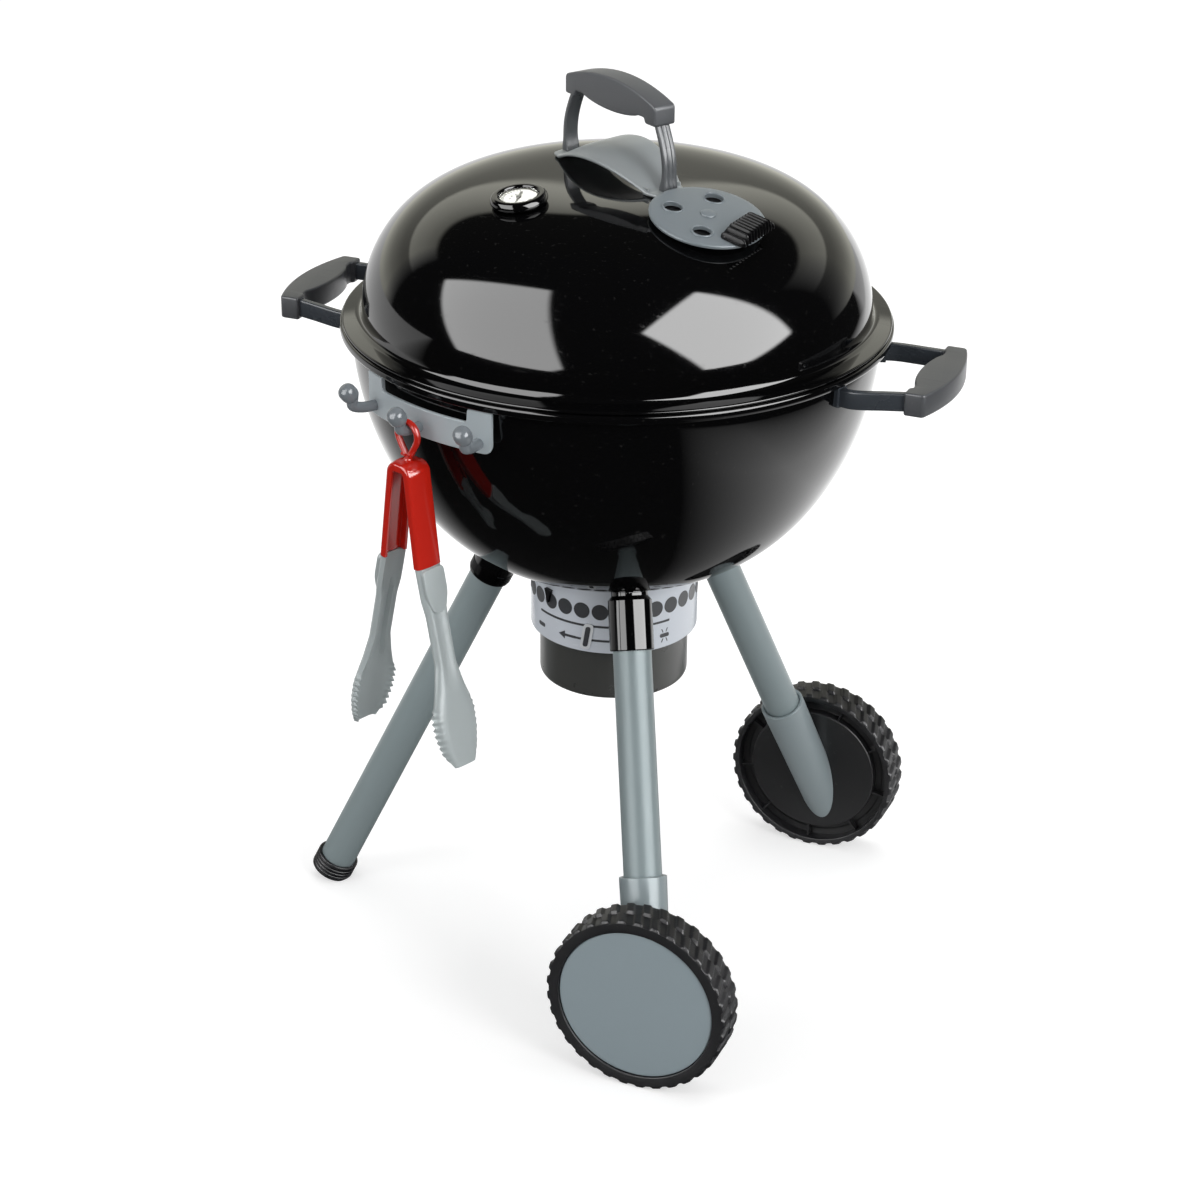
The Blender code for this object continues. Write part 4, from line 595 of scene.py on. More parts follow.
def buildLid():
    d = SimpleNamespace(**lid)
    outside, inside = shellCurve(lid, 0, *d.rings), shellCurve(lid, d.wall, *d.innerRings)[::-1]
    outside[:, 1], inside[:, 1] = outside[:, 1] + lidBase, inside[:, 1] + lidBase
    innerFoot, lipOuter = d.radius - d.wall, bowl["radius"] - bowl["wall"] - d.lipPlay
    lipInner, lipLow = lipOuter - d.lipWall, flangeLow - d.lipDepth
    edge = d.flangeEdge
    foot = roundCorners(
        [
            (innerFoot, lidBase - d.footLap), (innerFoot, flangeLow),
            (lipInner, flangeLow), (lipInner, lipLow), (lipOuter, lipLow), (lipOuter, flangeLow),
            (d.flangeRadius, flangeLow), (d.flangeRadius, flangeTop - d.flangeFall),
            (d.radius + d.footStep, flangeTop), (d.radius, lidBase),
        ],
        [0, 0, 0, edge / 3, edge / 3, 0, edge, edge, d.footFillet, 0],
    )
    surface = turned(np.vstack([inside, foot, outside[1:]]), d.steps, onAxis())
    piece("lid", surface, "glossBlack", "lid", "lid_shell")


buildLid()
print("bowl and lid built")

# Lid handle: arched heat shield, two posts, a grip
lidHandle = {
    "azimuth": -31.5, "postSpread": 0.0485, "postTopSpread": 0.0415, "postBulge": 0.0035,
    "postThick": 0.0034, "postWide": 0.009, "postHeight": 0.0368, "footThick": 0.0066, "footHeight": 0.0075,
    "grooveWide": 0.0036, "grooveDeep": 0.0005,
    "barEdge": 0.0009, "gripLength": 0.089, "gripArch": 0.008, "gripEnd": 0.0115, "gripNotch": 0.0032,
    "gripBelly": 0.0006, "gripWide": 0.015, "gripEdge": 0.0013,
    "shieldLength": 0.107, "shieldHalf": 0.019, "shieldEnd": 0.0095, "shieldPower": 0.8,
    "shieldCorner": 0.045,
    "shieldThick": 0.0022, "shieldRise": 0.0152, "shieldSeat": 0.0004, "shieldDroop": 0.0018,
    "shieldLean": 0.0042, "shieldBack": 0.003, "shieldCurl": 1.5, "shieldColumns": 61,
    "tabAlong": 0.0425, "tabSide": 0.0112, "tabSize": (0.0052, 0.0016, 0.0006), "tabTall": 0.0042,
}
grip = {  # shares of a grip's half length, and its corners' radii
    "shoulder": 0.9, "shoulderRise": 0.19, "block": 0.78, "notch": 0.75, "belly": 0.62, "bellyPower": 0.8,
    "radii": (0, 0.0024, 0.0018, 0.0016, 0.001, 0),
}


def gripOutline(length, arch, endDepth, notchRise, bellyDrop):
    # Side view of a grip: parabola back y = arch (1 - s^2), square end blocks, a notch and a low belly
    half = length / 2
    share = np.linspace(1, -1, 25)
    back = np.stack([share * half, arch * (1 - share**2)], 1)[1:-1]
    notch = -endDepth + notchRise
    swell = np.linspace(-grip["belly"], grip["belly"], 17)
    bulge = (1 - (swell / grip["belly"]) ** 2) ** grip["bellyPower"]
    belly = np.stack([swell * half, notch - (notchRise + bellyDrop) * bulge], 1)
    corners = [
        (-grip["shoulder"] * half, arch * grip["shoulderRise"]), (-half, 0.0), (-half, -endDepth),
        (-grip["block"] * half, -endDepth), (-grip["notch"] * half, notch), (-grip["belly"] * half, notch),
    ]
    left = roundCorners(corners, grip["radii"])[1:-1]
    right = left[::-1] * np.array([-1, 1])
    keep = np.abs(back[:, 0]) < grip["shoulder"] * half
    return np.vstack([back[keep], left, belly, right])


def buildLidHandle():
    h = SimpleNamespace(**lidHandle)
    line = onAxis(h.azimuth)
    along = np.linspace(-1, 1, h.shieldColumns)
    corner = h.shieldCorner
    half = h.shieldEnd + (h.shieldHalf - h.shieldEnd) * np.cos(along * math.pi / 2) ** h.shieldPower
    half *= 1 - np.clip((np.abs(along) - (1 - corner)) / corner, 0, 1) ** 2 * 0.5  # rounds the ends' corners
    x = along * h.shieldLength / 2
    bow = 1 - np.minimum(np.abs(x) / (h.postSpread - h.postWide / 2), 1) ** 2
    base = lidHeight(np.abs(x)) + h.shieldSeat + h.shieldRise * bow
    # Section: a flat strip with round edges, drooping towards them by droop u^2
    u = np.linspace(-1, 1, 15)
    t = h.shieldThick
    edge = np.linspace(-math.pi / 2, math.pi / 2, 7)[1:-1]
    ringY = np.concatenate([u, 1 + 0 * edge, u[::-1], -1 + 0 * edge])
    bulge = np.concatenate([0 * u, np.cos(edge), 0 * u, -np.cos(edge)]) * t / 2
    ringZ = np.concatenate([0 * u, (1 + np.sin(edge)) / 2, 1 + 0 * u, (1 - np.sin(edge)) / 2]) * t
    lift = h.shieldDroop * bow
    y = ringY[None, :] * (half[:, None] - t / 2) + bulge[None, :]
    front = np.clip(-ringY, 0, 1)[None, :] ** h.shieldCurl * h.shieldLean * bow[:, None]
    rear = np.clip(ringY, 0, 1)[None, :] ** h.shieldCurl * h.shieldBack * bow[:, None]
    z = base[:, None] + ringZ[None, :] - lift[:, None] * ringY[None, :] ** 2 - (front - rear)
    rings = np.stack([np.broadcast_to(x[:, None], y.shape), y, z], -1)
    shield = [placed(ringSurface(rings, "flat", "flat"), line)]
    for side in (-1, 1):  # a small turned-down tab at each corner of the near end
        end = line @ move(h.tabAlong, side * h.tabSide, lidHeight(h.tabAlong) + play)
        shield.append(slab(boxSection(*h.tabSize), end, 0, h.tabTall))
    piece("heatShield", joined(shield), "shieldGrey", "lid", "lid_heat_shield")
    postLow = lidHeight(h.postSpread - h.footThick / 2) + h.shieldSeat + h.shieldThick + play
    above = np.linspace(h.footHeight + 0.0015, h.postHeight, 24)
    rise = np.concatenate([np.linspace(0, h.footHeight, 5), above])
    share = rise / h.postHeight
    for name, side in (("near", 1), ("far", -1)):
        spread = h.postSpread + (h.postTopSpread - h.postSpread) * share
        x = side * (spread + h.postBulge * np.sin(math.pi * share))
        swell = np.exp(-((rise / h.footHeight) ** 2) * 2)
        sections = []
        for depth in h.postThick + (h.footThick - h.postThick) * swell:
            # A rounded bar with a shallow groove down its outer face
            a, b, g, d = depth / 2, h.postWide / 2, h.grooveWide / 2, h.grooveDeep
            bar = np.array(
                [(-a, -b), (a, -b), (a, -g), (a - d, -g + d), (a - d, g - d), (a, g), (a, b), (-a, b)]
            )
            bar[:, 0] *= side
            sections.append(roundCorners(bar, [h.barEdge] * 2 + [d / 2] * 4 + [h.barEdge] * 2, 3))
        frames = np.stack([line @ move(across, 0, postLow + up) for across, up in zip(x, rise)])
        post = swept(np.stack(sections), frames)
        piece(f"lidPost_{name}", post, "postGrey", "lid", f"lid_handle_post_{name}")
    outline = gripOutline(h.gripLength, h.gripArch, h.gripEnd, h.gripNotch, h.gripBelly)
    upright = line @ move(z=postLow + h.postHeight + play + h.gripEnd) @ spin("x", 90)
    piece("lidGrip", padded(outline, h.gripWide, h.gripEdge, upright), "gripGrey", "lid", "lid_handle_grip")


buildLidHandle()
useMaterial(paint["plainSteel"], "lid_handle_screw_near", "lid_handle_screw_far")
print("lid handle built")

# Vent: pierced disc with raised hole rims, a rivet and a ribbed tab, and a matte black disc of painted shade
# under its holes
vent = {
    "radius": 0.034, "thick": 0.0022, "sag": 0.0014, "lift": 0.001, "bore": 0.0024, "edge": 0.0008,
    "holeRadius": 0.0055, "holeDistance": 0.0205, "holeTurn": 45.0, "rimWide": 0.0011, "rimRise": 0.0007,
    "rivetRadius": 0.0046, "rivetRise": 0.0014,
    "tabTurn": 22.0, "tabDistance": 0.0268, "tabLength": 0.034, "tabWide": 0.0165, "tabHeight": 0.0075,
    "tabFoot": 0.0025, "tabTopLength": 0.62, "tabTopWide": 0.8, "ribs": 11, "ribDepth": 0.0016,
    # the disc under the holes is painted shade: a matte black sheet that darkens what the holes show
    "wellRadius": 0.029, "wellThick": 0.0003, "wellLow": 0.0009, "stemDepth": 0.003,
}


def axisFrame(joint):
    # A frame at a joint: Z along its axis, X in the plane of the bowl's axis, pointing outwards
    place, axis = np.array(joint["pos_m"]), unit(np.array(joint["axis"]))
    outward = np.array([place[0] - centre[0], place[1] - centre[1], 0.0])
    outward = unit(outward - axis * (outward @ axis))
    return frameOf(outward, np.cross(axis, outward), axis, place)


def buildVent():
    v = SimpleNamespace(**vent)
    base = axisFrame(joints["vent_turn"]) @ move(z=v.lift)
    r = np.linspace(v.bore, v.radius - v.edge, 14)
    sag = v.sag * (1 - (r / v.radius) ** 2)
    low, high = np.stack([r, sag], 1), np.stack([r, sag + v.thick], 1)
    turn = np.linspace(-math.pi / 2, math.pi / 2, 7)[1:-1]
    edge = np.stack([v.radius - v.edge + v.edge * np.cos(turn), v.thick / 2 + v.thick / 2 * np.sin(turn)], 1)
    disc = newMesh("ventDisc", turned(np.vstack([low, edge, high[::-1]]), 120, base))
    cutters, rims = [], []
    top = v.thick + v.sag * (1 - (v.holeDistance / v.radius) ** 2)
    for hole in range(3):
        place = base @ spin("z", v.holeTurn + 90.0 * (hole + 1)) @ move(v.holeDistance)
        deep, wide, under = 0.01, v.holeRadius, -v.thick / 2
        drill = turned([(0, -deep), (wide, -deep), (wide, deep), (0, deep)], 48, place)
        cutters.append(newMesh(f"drill{hole}", drill))
        wave = np.linspace(0, math.pi, 9)
        crest = np.stack([wide + v.rimWide * (0.45 - 0.55 * np.cos(wave)), v.rimRise * np.sin(wave)], 1)
        foot = [(wide + v.rimWide, under), (wide - 0.0001, under)]
        rims.append(turned(np.vstack([crest, foot]), 48, place @ move(z=top)))
    carve(disc, cutters)
    settle(disc, "ventGrey", "vent", "vent_disc")
    piece("ventHoleRims", joined(rims), "ventGrey", "vent")
    # Painted shade: a thin matte black disc under the vent disc, so that its holes look dark
    holeShadeInner, wellLow = v.bore + 0.0002, -v.wellLow
    holeShadeTop = wellLow + v.wellThick
    holeShadeEdge = [(holeShadeInner, -0.0005), (v.wellRadius, wellLow), (v.wellRadius, holeShadeTop), (holeShadeInner, 0.0001)]
    piece("ventHoleShade", turned(holeShadeEdge, 64, base), "tyreBlack", "lid", slot="satin_black")
    crown = np.linspace(0, math.pi / 2, 8)
    dome = np.stack([v.rivetRadius * np.cos(crown), v.rivetRise * np.sin(crown)], 1)
    stem = [(0, -v.stemDepth), (v.bore - play, -v.stemDepth), (v.bore - play, 0.0), (v.rivetRadius, 0.0)]
    rivetTop = base @ move(z=v.sag + v.thick + 0.0002)
    rivet = turned(np.vstack([stem, dome[1:-1], [(0, v.rivetRise)]]), 32, rivetTop)
    piece("ventRivet", rivet, "ventGrey", "lid", "vent_rivet")
    # Tab: a wedge section (radial, height) carried along the tangent; ribs draw it in by a smooth comb
    place = base @ spin("z", v.tabTurn) @ move(v.tabDistance, 0, v.thick + v.sag * 0.4)
    along = np.linspace(-1, 1, v.ribs * 10 + 1)
    slope = np.clip((1 - np.abs(along)) / (1 - v.tabTopLength), 0, 1)
    height = v.tabFoot + (v.tabHeight - v.tabFoot) * slope
    comb = np.clip(1.6 * np.cos(along * v.ribs * math.pi) - 0.2, -0.5, 0.5) + 0.5
    inset = v.ribDepth * (1 - comb)
    sections = []
    for high, draw in zip(height, inset):
        foot, crest = v.tabWide / 2 - draw, v.tabWide / 2 * v.tabTopWide - draw
        left = [(-crest, high - draw), (-foot, v.tabFoot)]
        corners = [(-foot, 0), (foot, 0), (foot, v.tabFoot), (crest, high - draw)] + left
        sections.append(roundCorners(corners, [0, 0, 0.0006, 0.0012, 0.0012, 0.0006], 3))
    # Local X is radial, local Y height: the frame's Z runs along the tangent
    stand = place @ spin("x", 90)
    frames = np.stack([stand @ move(z=-share * v.tabLength / 2) for share in along])
    tab = swept(np.stack(sections), frames)
    piece("ventTab", tab, "tabBlack", "vent", "vent_tab")


buildVent()

# Gauge: black bezel, white dial with plain marks, needle, clear lens
gauge = {
    "azimuth": -116.5, "distance": 0.0754, "radius": 0.0172, "height": 0.0056, "ring": 0.0058,
    "floor": 0.0014,
    "needle": 0.0136, "needleTurn": 35.0, "ticks": 25, "tickSweep": 270.0, "tickLength": 0.0016,
    "tickWide": 0.00055, "dot": 0.0007, "printThick": 0.00008, "dialThick": 0.0008, "handThick": 0.0004,
    "hub": 0.0015, "hubThick": 0.0008, "printHeight": 0.00085, "handHeight": 0.0012, "lensHeight": 0.0021,
    "lensThick": 0.0009, "lensDome": 0.0006, "slopeReach": 0.002,
    "tickShare": 0.84, "dotShare": 0.45, "dotAngles": (-110, -75, -40), "arcShares": (0.7, 0.6),
    "arcAngles": (20, 120),
}


def buildGauge():
    g = SimpleNamespace(**gauge)
    near = g.slopeReach
    slope = (lidHeight(g.distance - near) - lidHeight(g.distance + near)) / (2 * near)
    base = onAxis(g.azimuth) @ move(g.distance, 0, lidHeight(g.distance) + play)
    base = base @ spin("y", math.degrees(math.atan(slope)))
    inner = g.radius - g.ring
    body = roundCorners(
        [
            (0, 0), (g.radius * 0.92, 0), (g.radius, g.height * 0.35),
            (g.radius * 0.92, g.height), (inner + 0.0008, g.height),
            (inner, g.height * 0.6), (inner, g.floor), (0, g.floor),
        ],
        [0, 0.0006, 0.0016, 0.0018, 0.0008, 0.0004, 0, 0],
    )
    piece("gaugeBezel", turned(body, 96, base), "glossBlack", "lid", "gauge_bezel")
    face = base @ move(z=g.floor + play)
    free = inner - play
    plate = [(0, 0), (free, 0), (free, g.dialThick), (0, g.dialThick)]
    piece("gaugeDial", turned(plate, 64, face), "dialWhite", "lid", "gauge_dial")
    printed = face @ move(z=g.printHeight)
    bar = slab(boxSection(g.tickLength, g.tickWide, 0.0), move(), 0, g.printThick)
    angles = np.linspace(-g.tickSweep / 2, g.tickSweep / 2, g.ticks)
    marks = [repeated(bar, [printed @ spin("z", a) @ move(free * g.tickShare) for a in angles])]
    arc = np.radians(np.linspace(*g.arcAngles, 40))
    reach = [free * share for share in g.arcShares]
    band = circles(np.repeat(reach, len(arc)), np.append(arc, arc[::-1]), 0)[:, :2]
    marks.append(slab(band, printed, 0, g.printThick))
    dots = slab(roundSection(g.dot, 12), move(), 0, g.printThick)
    marks.append(repeated(dots, [printed @ spin("z", a) @ move(free * g.dotShare) for a in g.dotAngles]))
    piece("gaugeMarks", joined(marks), "printDark", "lid")
    tip = g.needle / 2
    needle = [(-tip, -0.0008), (tip, -0.0002), (tip, 0.0002), (-tip, 0.0008)]
    hand = face @ move(z=g.handHeight) @ spin("z", g.needleTurn)
    hub = turned([(0, 0), (g.hub, 0), (g.hub, g.hubThick - 0.0001), (0, g.hubThick)], 24, hand)
    surface = joined([slab(needle, hand, 0, g.handThick), hub])
    piece("gaugeNeedle", surface, "satinBlack", "lid", "gauge_needle")
    curve = np.linspace(free, 0, 12)
    dome = np.stack([curve, g.lensThick + g.lensDome * (1 - (curve / free) ** 2)], 1)
    lens = turned(np.vstack([[(0, 0), (free, 0)], dome]), 64, face @ move(z=g.lensHeight))
    piece("gaugeLens", lens, "lensClear", "lid", "gauge_lens")


buildGauge()
print("vent and gauge built")

# Side handles: arched grip on two straps
sideHandle = {
    "height": 0.413, "strapAzimuth": 14.5, "reach": 0.206, "length": 0.085, "arch": 0.0078, "end": 0.012,
    "notch": 0.002, "belly": 0.003, "wide": 0.014, "edge": 0.0013, "strapWide": 0.0108, "strapThick": 0.0048,
    "strapDrop": 0.002, "strapInset": 0.88, "strapEdge": 0.001,
    "socketThick": 0.0034, "socketWide": 0.0014, "strapLap": 0.002, "strapRoot": 0.0006,
}


def buildSideHandle(name, facing):
    s = SimpleNamespace(**sideHandle)
    turn = onAxis(facing)
    drop = bowlTop - s.height
    # The bowl's radius at this height, from the same superellipse
    wall = bowl["radius"] * (1 - (drop / bowl["depth"]) ** bowl["endPower"]) ** (1 / bowl["sidePower"])
    inner = s.reach - s.end
    for end, sign in (("front", -1), ("rear", 1)):
        angle = math.radians(s.strapAzimuth) * sign
        out = np.array([math.cos(angle), math.sin(angle), 0.0])
        low = np.array([0, 0, s.height - s.strapDrop])
        start, knee = out * (wall - s.strapRoot) + low, out * (wall + s.strapWide) + low
        finish = np.array([inner + s.strapLap, s.strapInset * s.length / 2 * sign, s.height])
        path = splinePath([start, knee, knee * 0.4 + finish * 0.6, finish], 28)
        frames = turn @ pathFrames(path, (0, 0, 1.0))
        bar = boxSection(s.strapThick, s.strapWide, s.strapEdge)
        socket = boxSection(s.strapThick + s.socketThick, s.strapWide + s.socketWide, s.socketWide)
        strap = joined([swept(bar, frames), swept(socket, frames[:4])])  # the socket is on the bowl
        piece(f"{name}Strap_{end}", strap, "strapGrey", "stand", f"{name}_handle_strap_{end}")
    outline = gripOutline(s.length, s.arch, s.end, s.notch, s.belly)
    place = turn @ move(s.reach, 0, s.height) @ spin("z", -90)
    # the side grips wear the darker copy of the grip finish: painted shade
    piece(
        f"{name}Grip", padded(outline, s.wide, s.edge, place), "sideGripGrey", "stand", f"{name}_handle_grip"
    )


buildSideHandle("right", 0.0)
buildSideHandle("left", 180.0)

# Tool rack: bent plate with two windows under the rim, and three upturned pegs
rack = {
    "azimuth": -110.2, "halfAngle": 17.6, "radius": 0.1652, "thick": 0.0024, "band": 0.0172,
    "window": 0.008, "corner": 0.006, "windowCorner": 0.0026, "endTab": 5.4,
    "pegAngle": 14.8, "pegRadius": 0.0032, "ballRadius": 0.0054, "pegReach": 0.0185, "pegLift": 0.0105,
    "pegHeightShare": 0.36, "pegLean": 40, "soft": 0.0005,
}
rackLow = bowlTop - play - rack["window"] - rack["band"]
pegHeight = rackLow + rack["band"] * rack["pegHeightShare"]


def buildRack():
    r = SimpleNamespace(**rack)
    notch, top = rackLow + r.band, bowlTop - play
    # Plate coordinates: arc length and height
    end, tabEnd = math.radians(r.halfAngle) * r.radius, math.radians(r.halfAngle - r.endTab) * r.radius
    edges = (-end, -tabEnd, tabEnd, end)
    w = r.windowCorner
    slant, soft = w * 0.2, w * 0.4
    left = [(edges[0], notch - w), (edges[0], top), (edges[1], top), (edges[1] + slant, notch)]
    right = [(edges[2] - slant, notch), (edges[2], top), (edges[3], top), (edges[3], notch - w)]
    upper = roundCorners(left + right, [0, soft, soft, w, w, soft, soft, 0], 6)
    lower = [(edges[0], notch - w), (edges[0], rackLow), (edges[3], rackLow), (edges[3], notch - w)]
    lower = roundCorners(lower, [0, r.corner, r.corner, 0], 10)
    # Stations along the arc: at each one the plate runs from the lower outline up to the upper one
    station = np.unique(np.concatenate([upper[:, 0], lower[:, 0], np.linspace(edges[0], edges[3], 90)]))
    station = station[(station > edges[0] + 1e-5) & (station < edges[3] - 1e-5)]
    order = np.argsort(upper[:, 0], kind="stable")
    high = np.interp(
        station, np.maximum.accumulate(upper[order, 0] + np.arange(len(order)) * 1e-9), upper[order, 1]
    )
    lowOrder = np.argsort(lower[:, 0], kind="stable")
    low = np.interp(station, lower[lowOrder, 0] + np.arange(len(lowOrder)) * 1e-9, lower[lowOrder, 1])
    soft = r.soft
    angle = np.radians(r.azimuth) + station / r.radius
    direction = np.stack([np.cos(angle), np.sin(angle)], 1)
    ring = [(0, soft), (soft, 0), (r.thick - soft, 0), (r.thick, soft)]
    loopDepth = np.array([p[0] for p in ring] + [p[0] for p in ring[::-1]])
    loopLift = np.array([p[1] for p in ring] + [-p[1] for p in ring[::-1]])
    isTop = np.array([False] * 4 + [True] * 4)
    z = np.where(isTop[None], high[:, None], low[:, None]) + loopLift[None]
    reach = r.radius - r.thick + loopDepth
    xy = direction[:, None, :] * reach[None, :, None]
    plate = ringSurface(np.concatenate([xy, z[..., None]], -1), "flat", "flat")
    piece("toolRack", placed(plate, move(*centre)), "rackGrey", "stand", "tool_rack")
    pegs = []
    # Pegs: a round stem along a bent path that swells into a knob, R (1 - |d/R|^3)^(1/2.6) round its centre
    b, reachOut, liftUp = r.ballRadius, r.pegReach, r.pegLift
    tilt = math.radians(r.pegLean)
    ballCentre = np.array([reachOut, 0, liftUp])
    toBall = np.array([math.sin(tilt), 0, math.cos(tilt)])
    bend = [(-0.001, 0, 0), (reachOut * 0.45, 0, 0), (reachOut * 0.86, 0, liftUp * 0.22)]
    stem = splinePath(bend + [ballCentre - toBall * b * 0.8], 22)
    cap = np.sin(np.linspace(-0.3 * math.pi, 0.497 * math.pi, 16))
    path = np.vstack([stem, ballCentre + toBall * b * cap[:, None]])
    swell = np.concatenate([np.full(22, r.pegRadius), b * (1 - np.abs(cap) ** 3) ** (1 / 2.6) + 1e-5])
    sections = swell[:, None, None] * roundSection(1.0, 24)[None]
    for side in (-1, 0, 1):
        place = onAxis(r.azimuth + side * r.pegAngle) @ move(r.radius - 0.0012, 0, pegHeight)
        pegs.append(swept(sections, place @ pathFrames(path, (0, 1.0, 0))))
    # the pegs' darker grey is a painted reflection of a dark room, on the rack's own plastic
    piece("rackPegs", joined(pegs), "pegGrey", "stand")


buildRack()
print("side handles and rack built")

# Ash catcher: silver band with printed dots and marks, black cup
ash = {
    "bandRadius": 0.0522, "bandWall": 0.002, "bandLow": 0.2225, "cupRadius": 0.0465, "cupWall": 0.0018,
    "cupLow": 0.188, "cupCorner": 0.004, "cupOverlap": 0.018, "dots": 28, "dotRadius": 0.0052,
    "dotHeight": 0.0278, "relief": 0.0002, "lineHeight": 0.018, "lowLineHeight": 0.0085, "lineHalf": 0.0007,
    "pillLong": 0.0034, "pillHalf": 0.0013, "pillAzimuths": (-126, -31), "arrowAzimuth": -101,
    "arrowSize": 0.0014,
    "sliderAzimuth": -86, "sliderHeight": 0.0108, "sliderLean": 0.16, "lugAzimuth": -117, "lugHeight": 0.031,
    "lugRelief": 0.0022,
}


def bentMark(outline, azimuth, up, relief=ash["relief"]):
    # A flat outline wrapped on the band: arc length turns into angle, with a thin raised edge
    outline = np.asarray(outline, float)
    layers = []
    for lift in (-0.0002, relief):
        angle = math.radians(azimuth) + outline[:, 0] / ash["bandRadius"]
        layers.append(circles(ash["bandRadius"] + lift, angle, ash["bandLow"] + up + outline[:, 1]))
    return placed(ringSurface(np.stack(layers), "flat", "flat"), move(*centre))


def bentStrip(start, end, up, half):
    # A line round the band: a small rectangle of radius and height, carried from one azimuth to another
    angle = np.radians(np.linspace(start, end, 90))
    corners = np.array([(-0.0002, -half), (ash["relief"], -half), (ash["relief"], half), (-0.0002, half)])
    rings = circles(ash["bandRadius"] + corners[:, 0], angle[:, None], ash["bandLow"] + up + corners[:, 1])
    return placed(ringSurface(rings, "flat", "flat"), move(*centre))


def buildAshCatcher():
    a = SimpleNamespace(**ash)
    inner = a.bandRadius - a.bandWall
    topOut, topIn = bowlOutside(a.bandRadius) - play, bowlOutside(inner) - play
    profile = roundCorners(
        [(a.bandRadius, a.bandLow), (a.bandRadius, topOut), (inner, topIn), (inner, a.bandLow)],
        [0.0009, 0.0003, 0.0003, 0.0006],
    )
    piece("ashBand", turned(profile, 128, onAxis()), "bandSilver", "stand", "ash_band")
    dot = roundSection(a.dotRadius, 28)
    marks = [bentMark(dot, 360 / a.dots * step, a.dotHeight) for step in range(a.dots)]
    for start, end, up in ((-127, -27, a.lineHeight), (-96, -42, a.lowLineHeight)):
        marks.append(bentStrip(start, end, up, a.lineHalf))
    pill = boxSection(a.pillLong * 2, a.pillHalf * 2, a.pillHalf, 6)
    marks += [bentMark(pill, azimuth, a.lowLineHeight) for azimuth in a.pillAzimuths]
    arrow = np.array(
        [(-4.5, 0), (-1.2, -1.9), (-1.2, -0.6), (4.2, -0.6), (4.2, 0.6), (-1.2, 0.6), (-1.2, 1.9)]
    )
    marks.append(bentMark(arrow * a.arrowSize, a.arrowAzimuth, a.lowLineHeight))
    ray = np.array([(-0.3, 0), (0.3, 0), (0.3, 2.4), (-0.3, 2.4)]) * 0.001
    for side in (-1, 1):  # two short strokes over the pill and two under it
        for flip in (-1, 1):
            stroke = ray * (1, flip) + (side * 0.0012, flip * 0.0021)
            stroke[:, 0] += ray[:, 1] * side * 0.4
            marks.append(bentMark(stroke, a.pillAzimuths[1], a.lowLineHeight))
    piece("ashBandPrint", joined(marks), "printDark", "stand")
    # Slider: a raised pill on the band with a dark pill inside it, and a black lug at the band's top
    for name, half, tall, lift, finish in (
        ("ashSlider", 0.0033, 0.0088, 0.0009, "printPale"),
        ("ashSliderSlot", 0.0016, 0.0068, 0.001, "printDark"),
    ):
        outline = boxSection(half * 2, tall * 2, half, 6)
        outline[:, 0] += outline[:, 1] * a.sliderLean
        mark = bentMark(outline, a.sliderAzimuth, a.sliderHeight, lift)
        piece(name, mark, finish, "stand", slot="band_silver")
    wedge = [(-0.0028, 0.0045), (0.0, -0.0045), (0.0028, 0.0045)]
    lug = bentMark(wedge, a.lugAzimuth, a.lugHeight, a.lugRelief)
    piece("ashLug", lug, "tabBlack", "stand")
    cupTop = a.bandLow + a.cupOverlap
    step, shoulder = inner - play, cupTop - a.cupOverlap / 3
    hollow, floor = a.cupRadius - a.cupWall, a.cupLow + a.cupWall
    cup = roundCorners(
        [
            (0, a.cupLow), (a.cupRadius, a.cupLow), (a.cupRadius, shoulder), (step, shoulder + 0.0015),
            (step, cupTop), (hollow, cupTop), (hollow, floor), (0, floor),
        ],
        [0, a.cupCorner, 0.0006, 0.0006, 0.0005, 0.0005, a.cupCorner, 0],
    )
    piece("ashCup", turned(cup, 128, onAxis()), "cupBlack", "stand", "ash_cup")


buildAshCatcher()
print("ash catcher built")

# Legs: tubes in collars under the bowl, sleeves at the wheels, a cap at the third leg's foot
leg = {
    "footRadius": 0.2005, "lean": 25.95, "tube": 0.0117, "wall": 0.0016, "collar": 0.0134,
    "collarLength": 0.031,
    "neck": 0.0112, "neckLength": 0.0045, "bore": 0.024, "edge": 0.0006,
    "ringPitch": 0.0016, "ringRise": 0.0006, "ringStart": 0.0022, "ribPitch": 0.0026, "ribDeep": 0.0004,
    "ribStart": 0.003,
    "sleeve": 0.0135, "sleeveLip": 0.0145, "sleeveToe": 0.0126, "sleeveTop": 0.118,
    "sleeveBore": 0.02, "cap": 0.014, "capFloor": 0.004, "capLength": 0.012, "capFlat": 0.002, "steps": 64,
    "azimuths": {"front": -60.0, "rear": 60.0, "foot": 185.0},
}
lean = math.radians(leg["lean"])


def legFrame(azimuth, height):
    distance = leg["footRadius"] - math.tan(lean) * height
    return onAxis(azimuth) @ move(distance, 0, height) @ spin("y", -leg["lean"])


def legMeet():
    # Halves a span of heights until the leg's axis meets the bowl's outside
    low, high = bowlTop - bowl["depth"], bowlTop
    for _ in range(40):
        middle = (low + high) / 2
        if bowlOutside(leg["footRadius"] - math.tan(lean) * middle) > middle:
            low = middle
        else:
            high = middle
    return low


meet = legMeet()


def riseToBowl(top, radius, angle):
    # How far up the leg's axis each line at (radius, angle) runs before it meets the bowl, by halving
    low, high = np.full(len(angle), -0.03), np.full(len(angle), 0.03)
    start = circles(radius, angle, 0)
    for _ in range(30):
        middle = (low + high) / 2
        spot = carried(start + np.stack([0 * middle, 0 * middle, middle], 1), top)
        distance = np.hypot(spot[:, 0] - centre[0], spot[:, 1] - centre[1])
        under = bowlOutside(distance) > spot[:, 2]
        low, high = np.where(under, middle, low), np.where(under, high, middle)
    return low


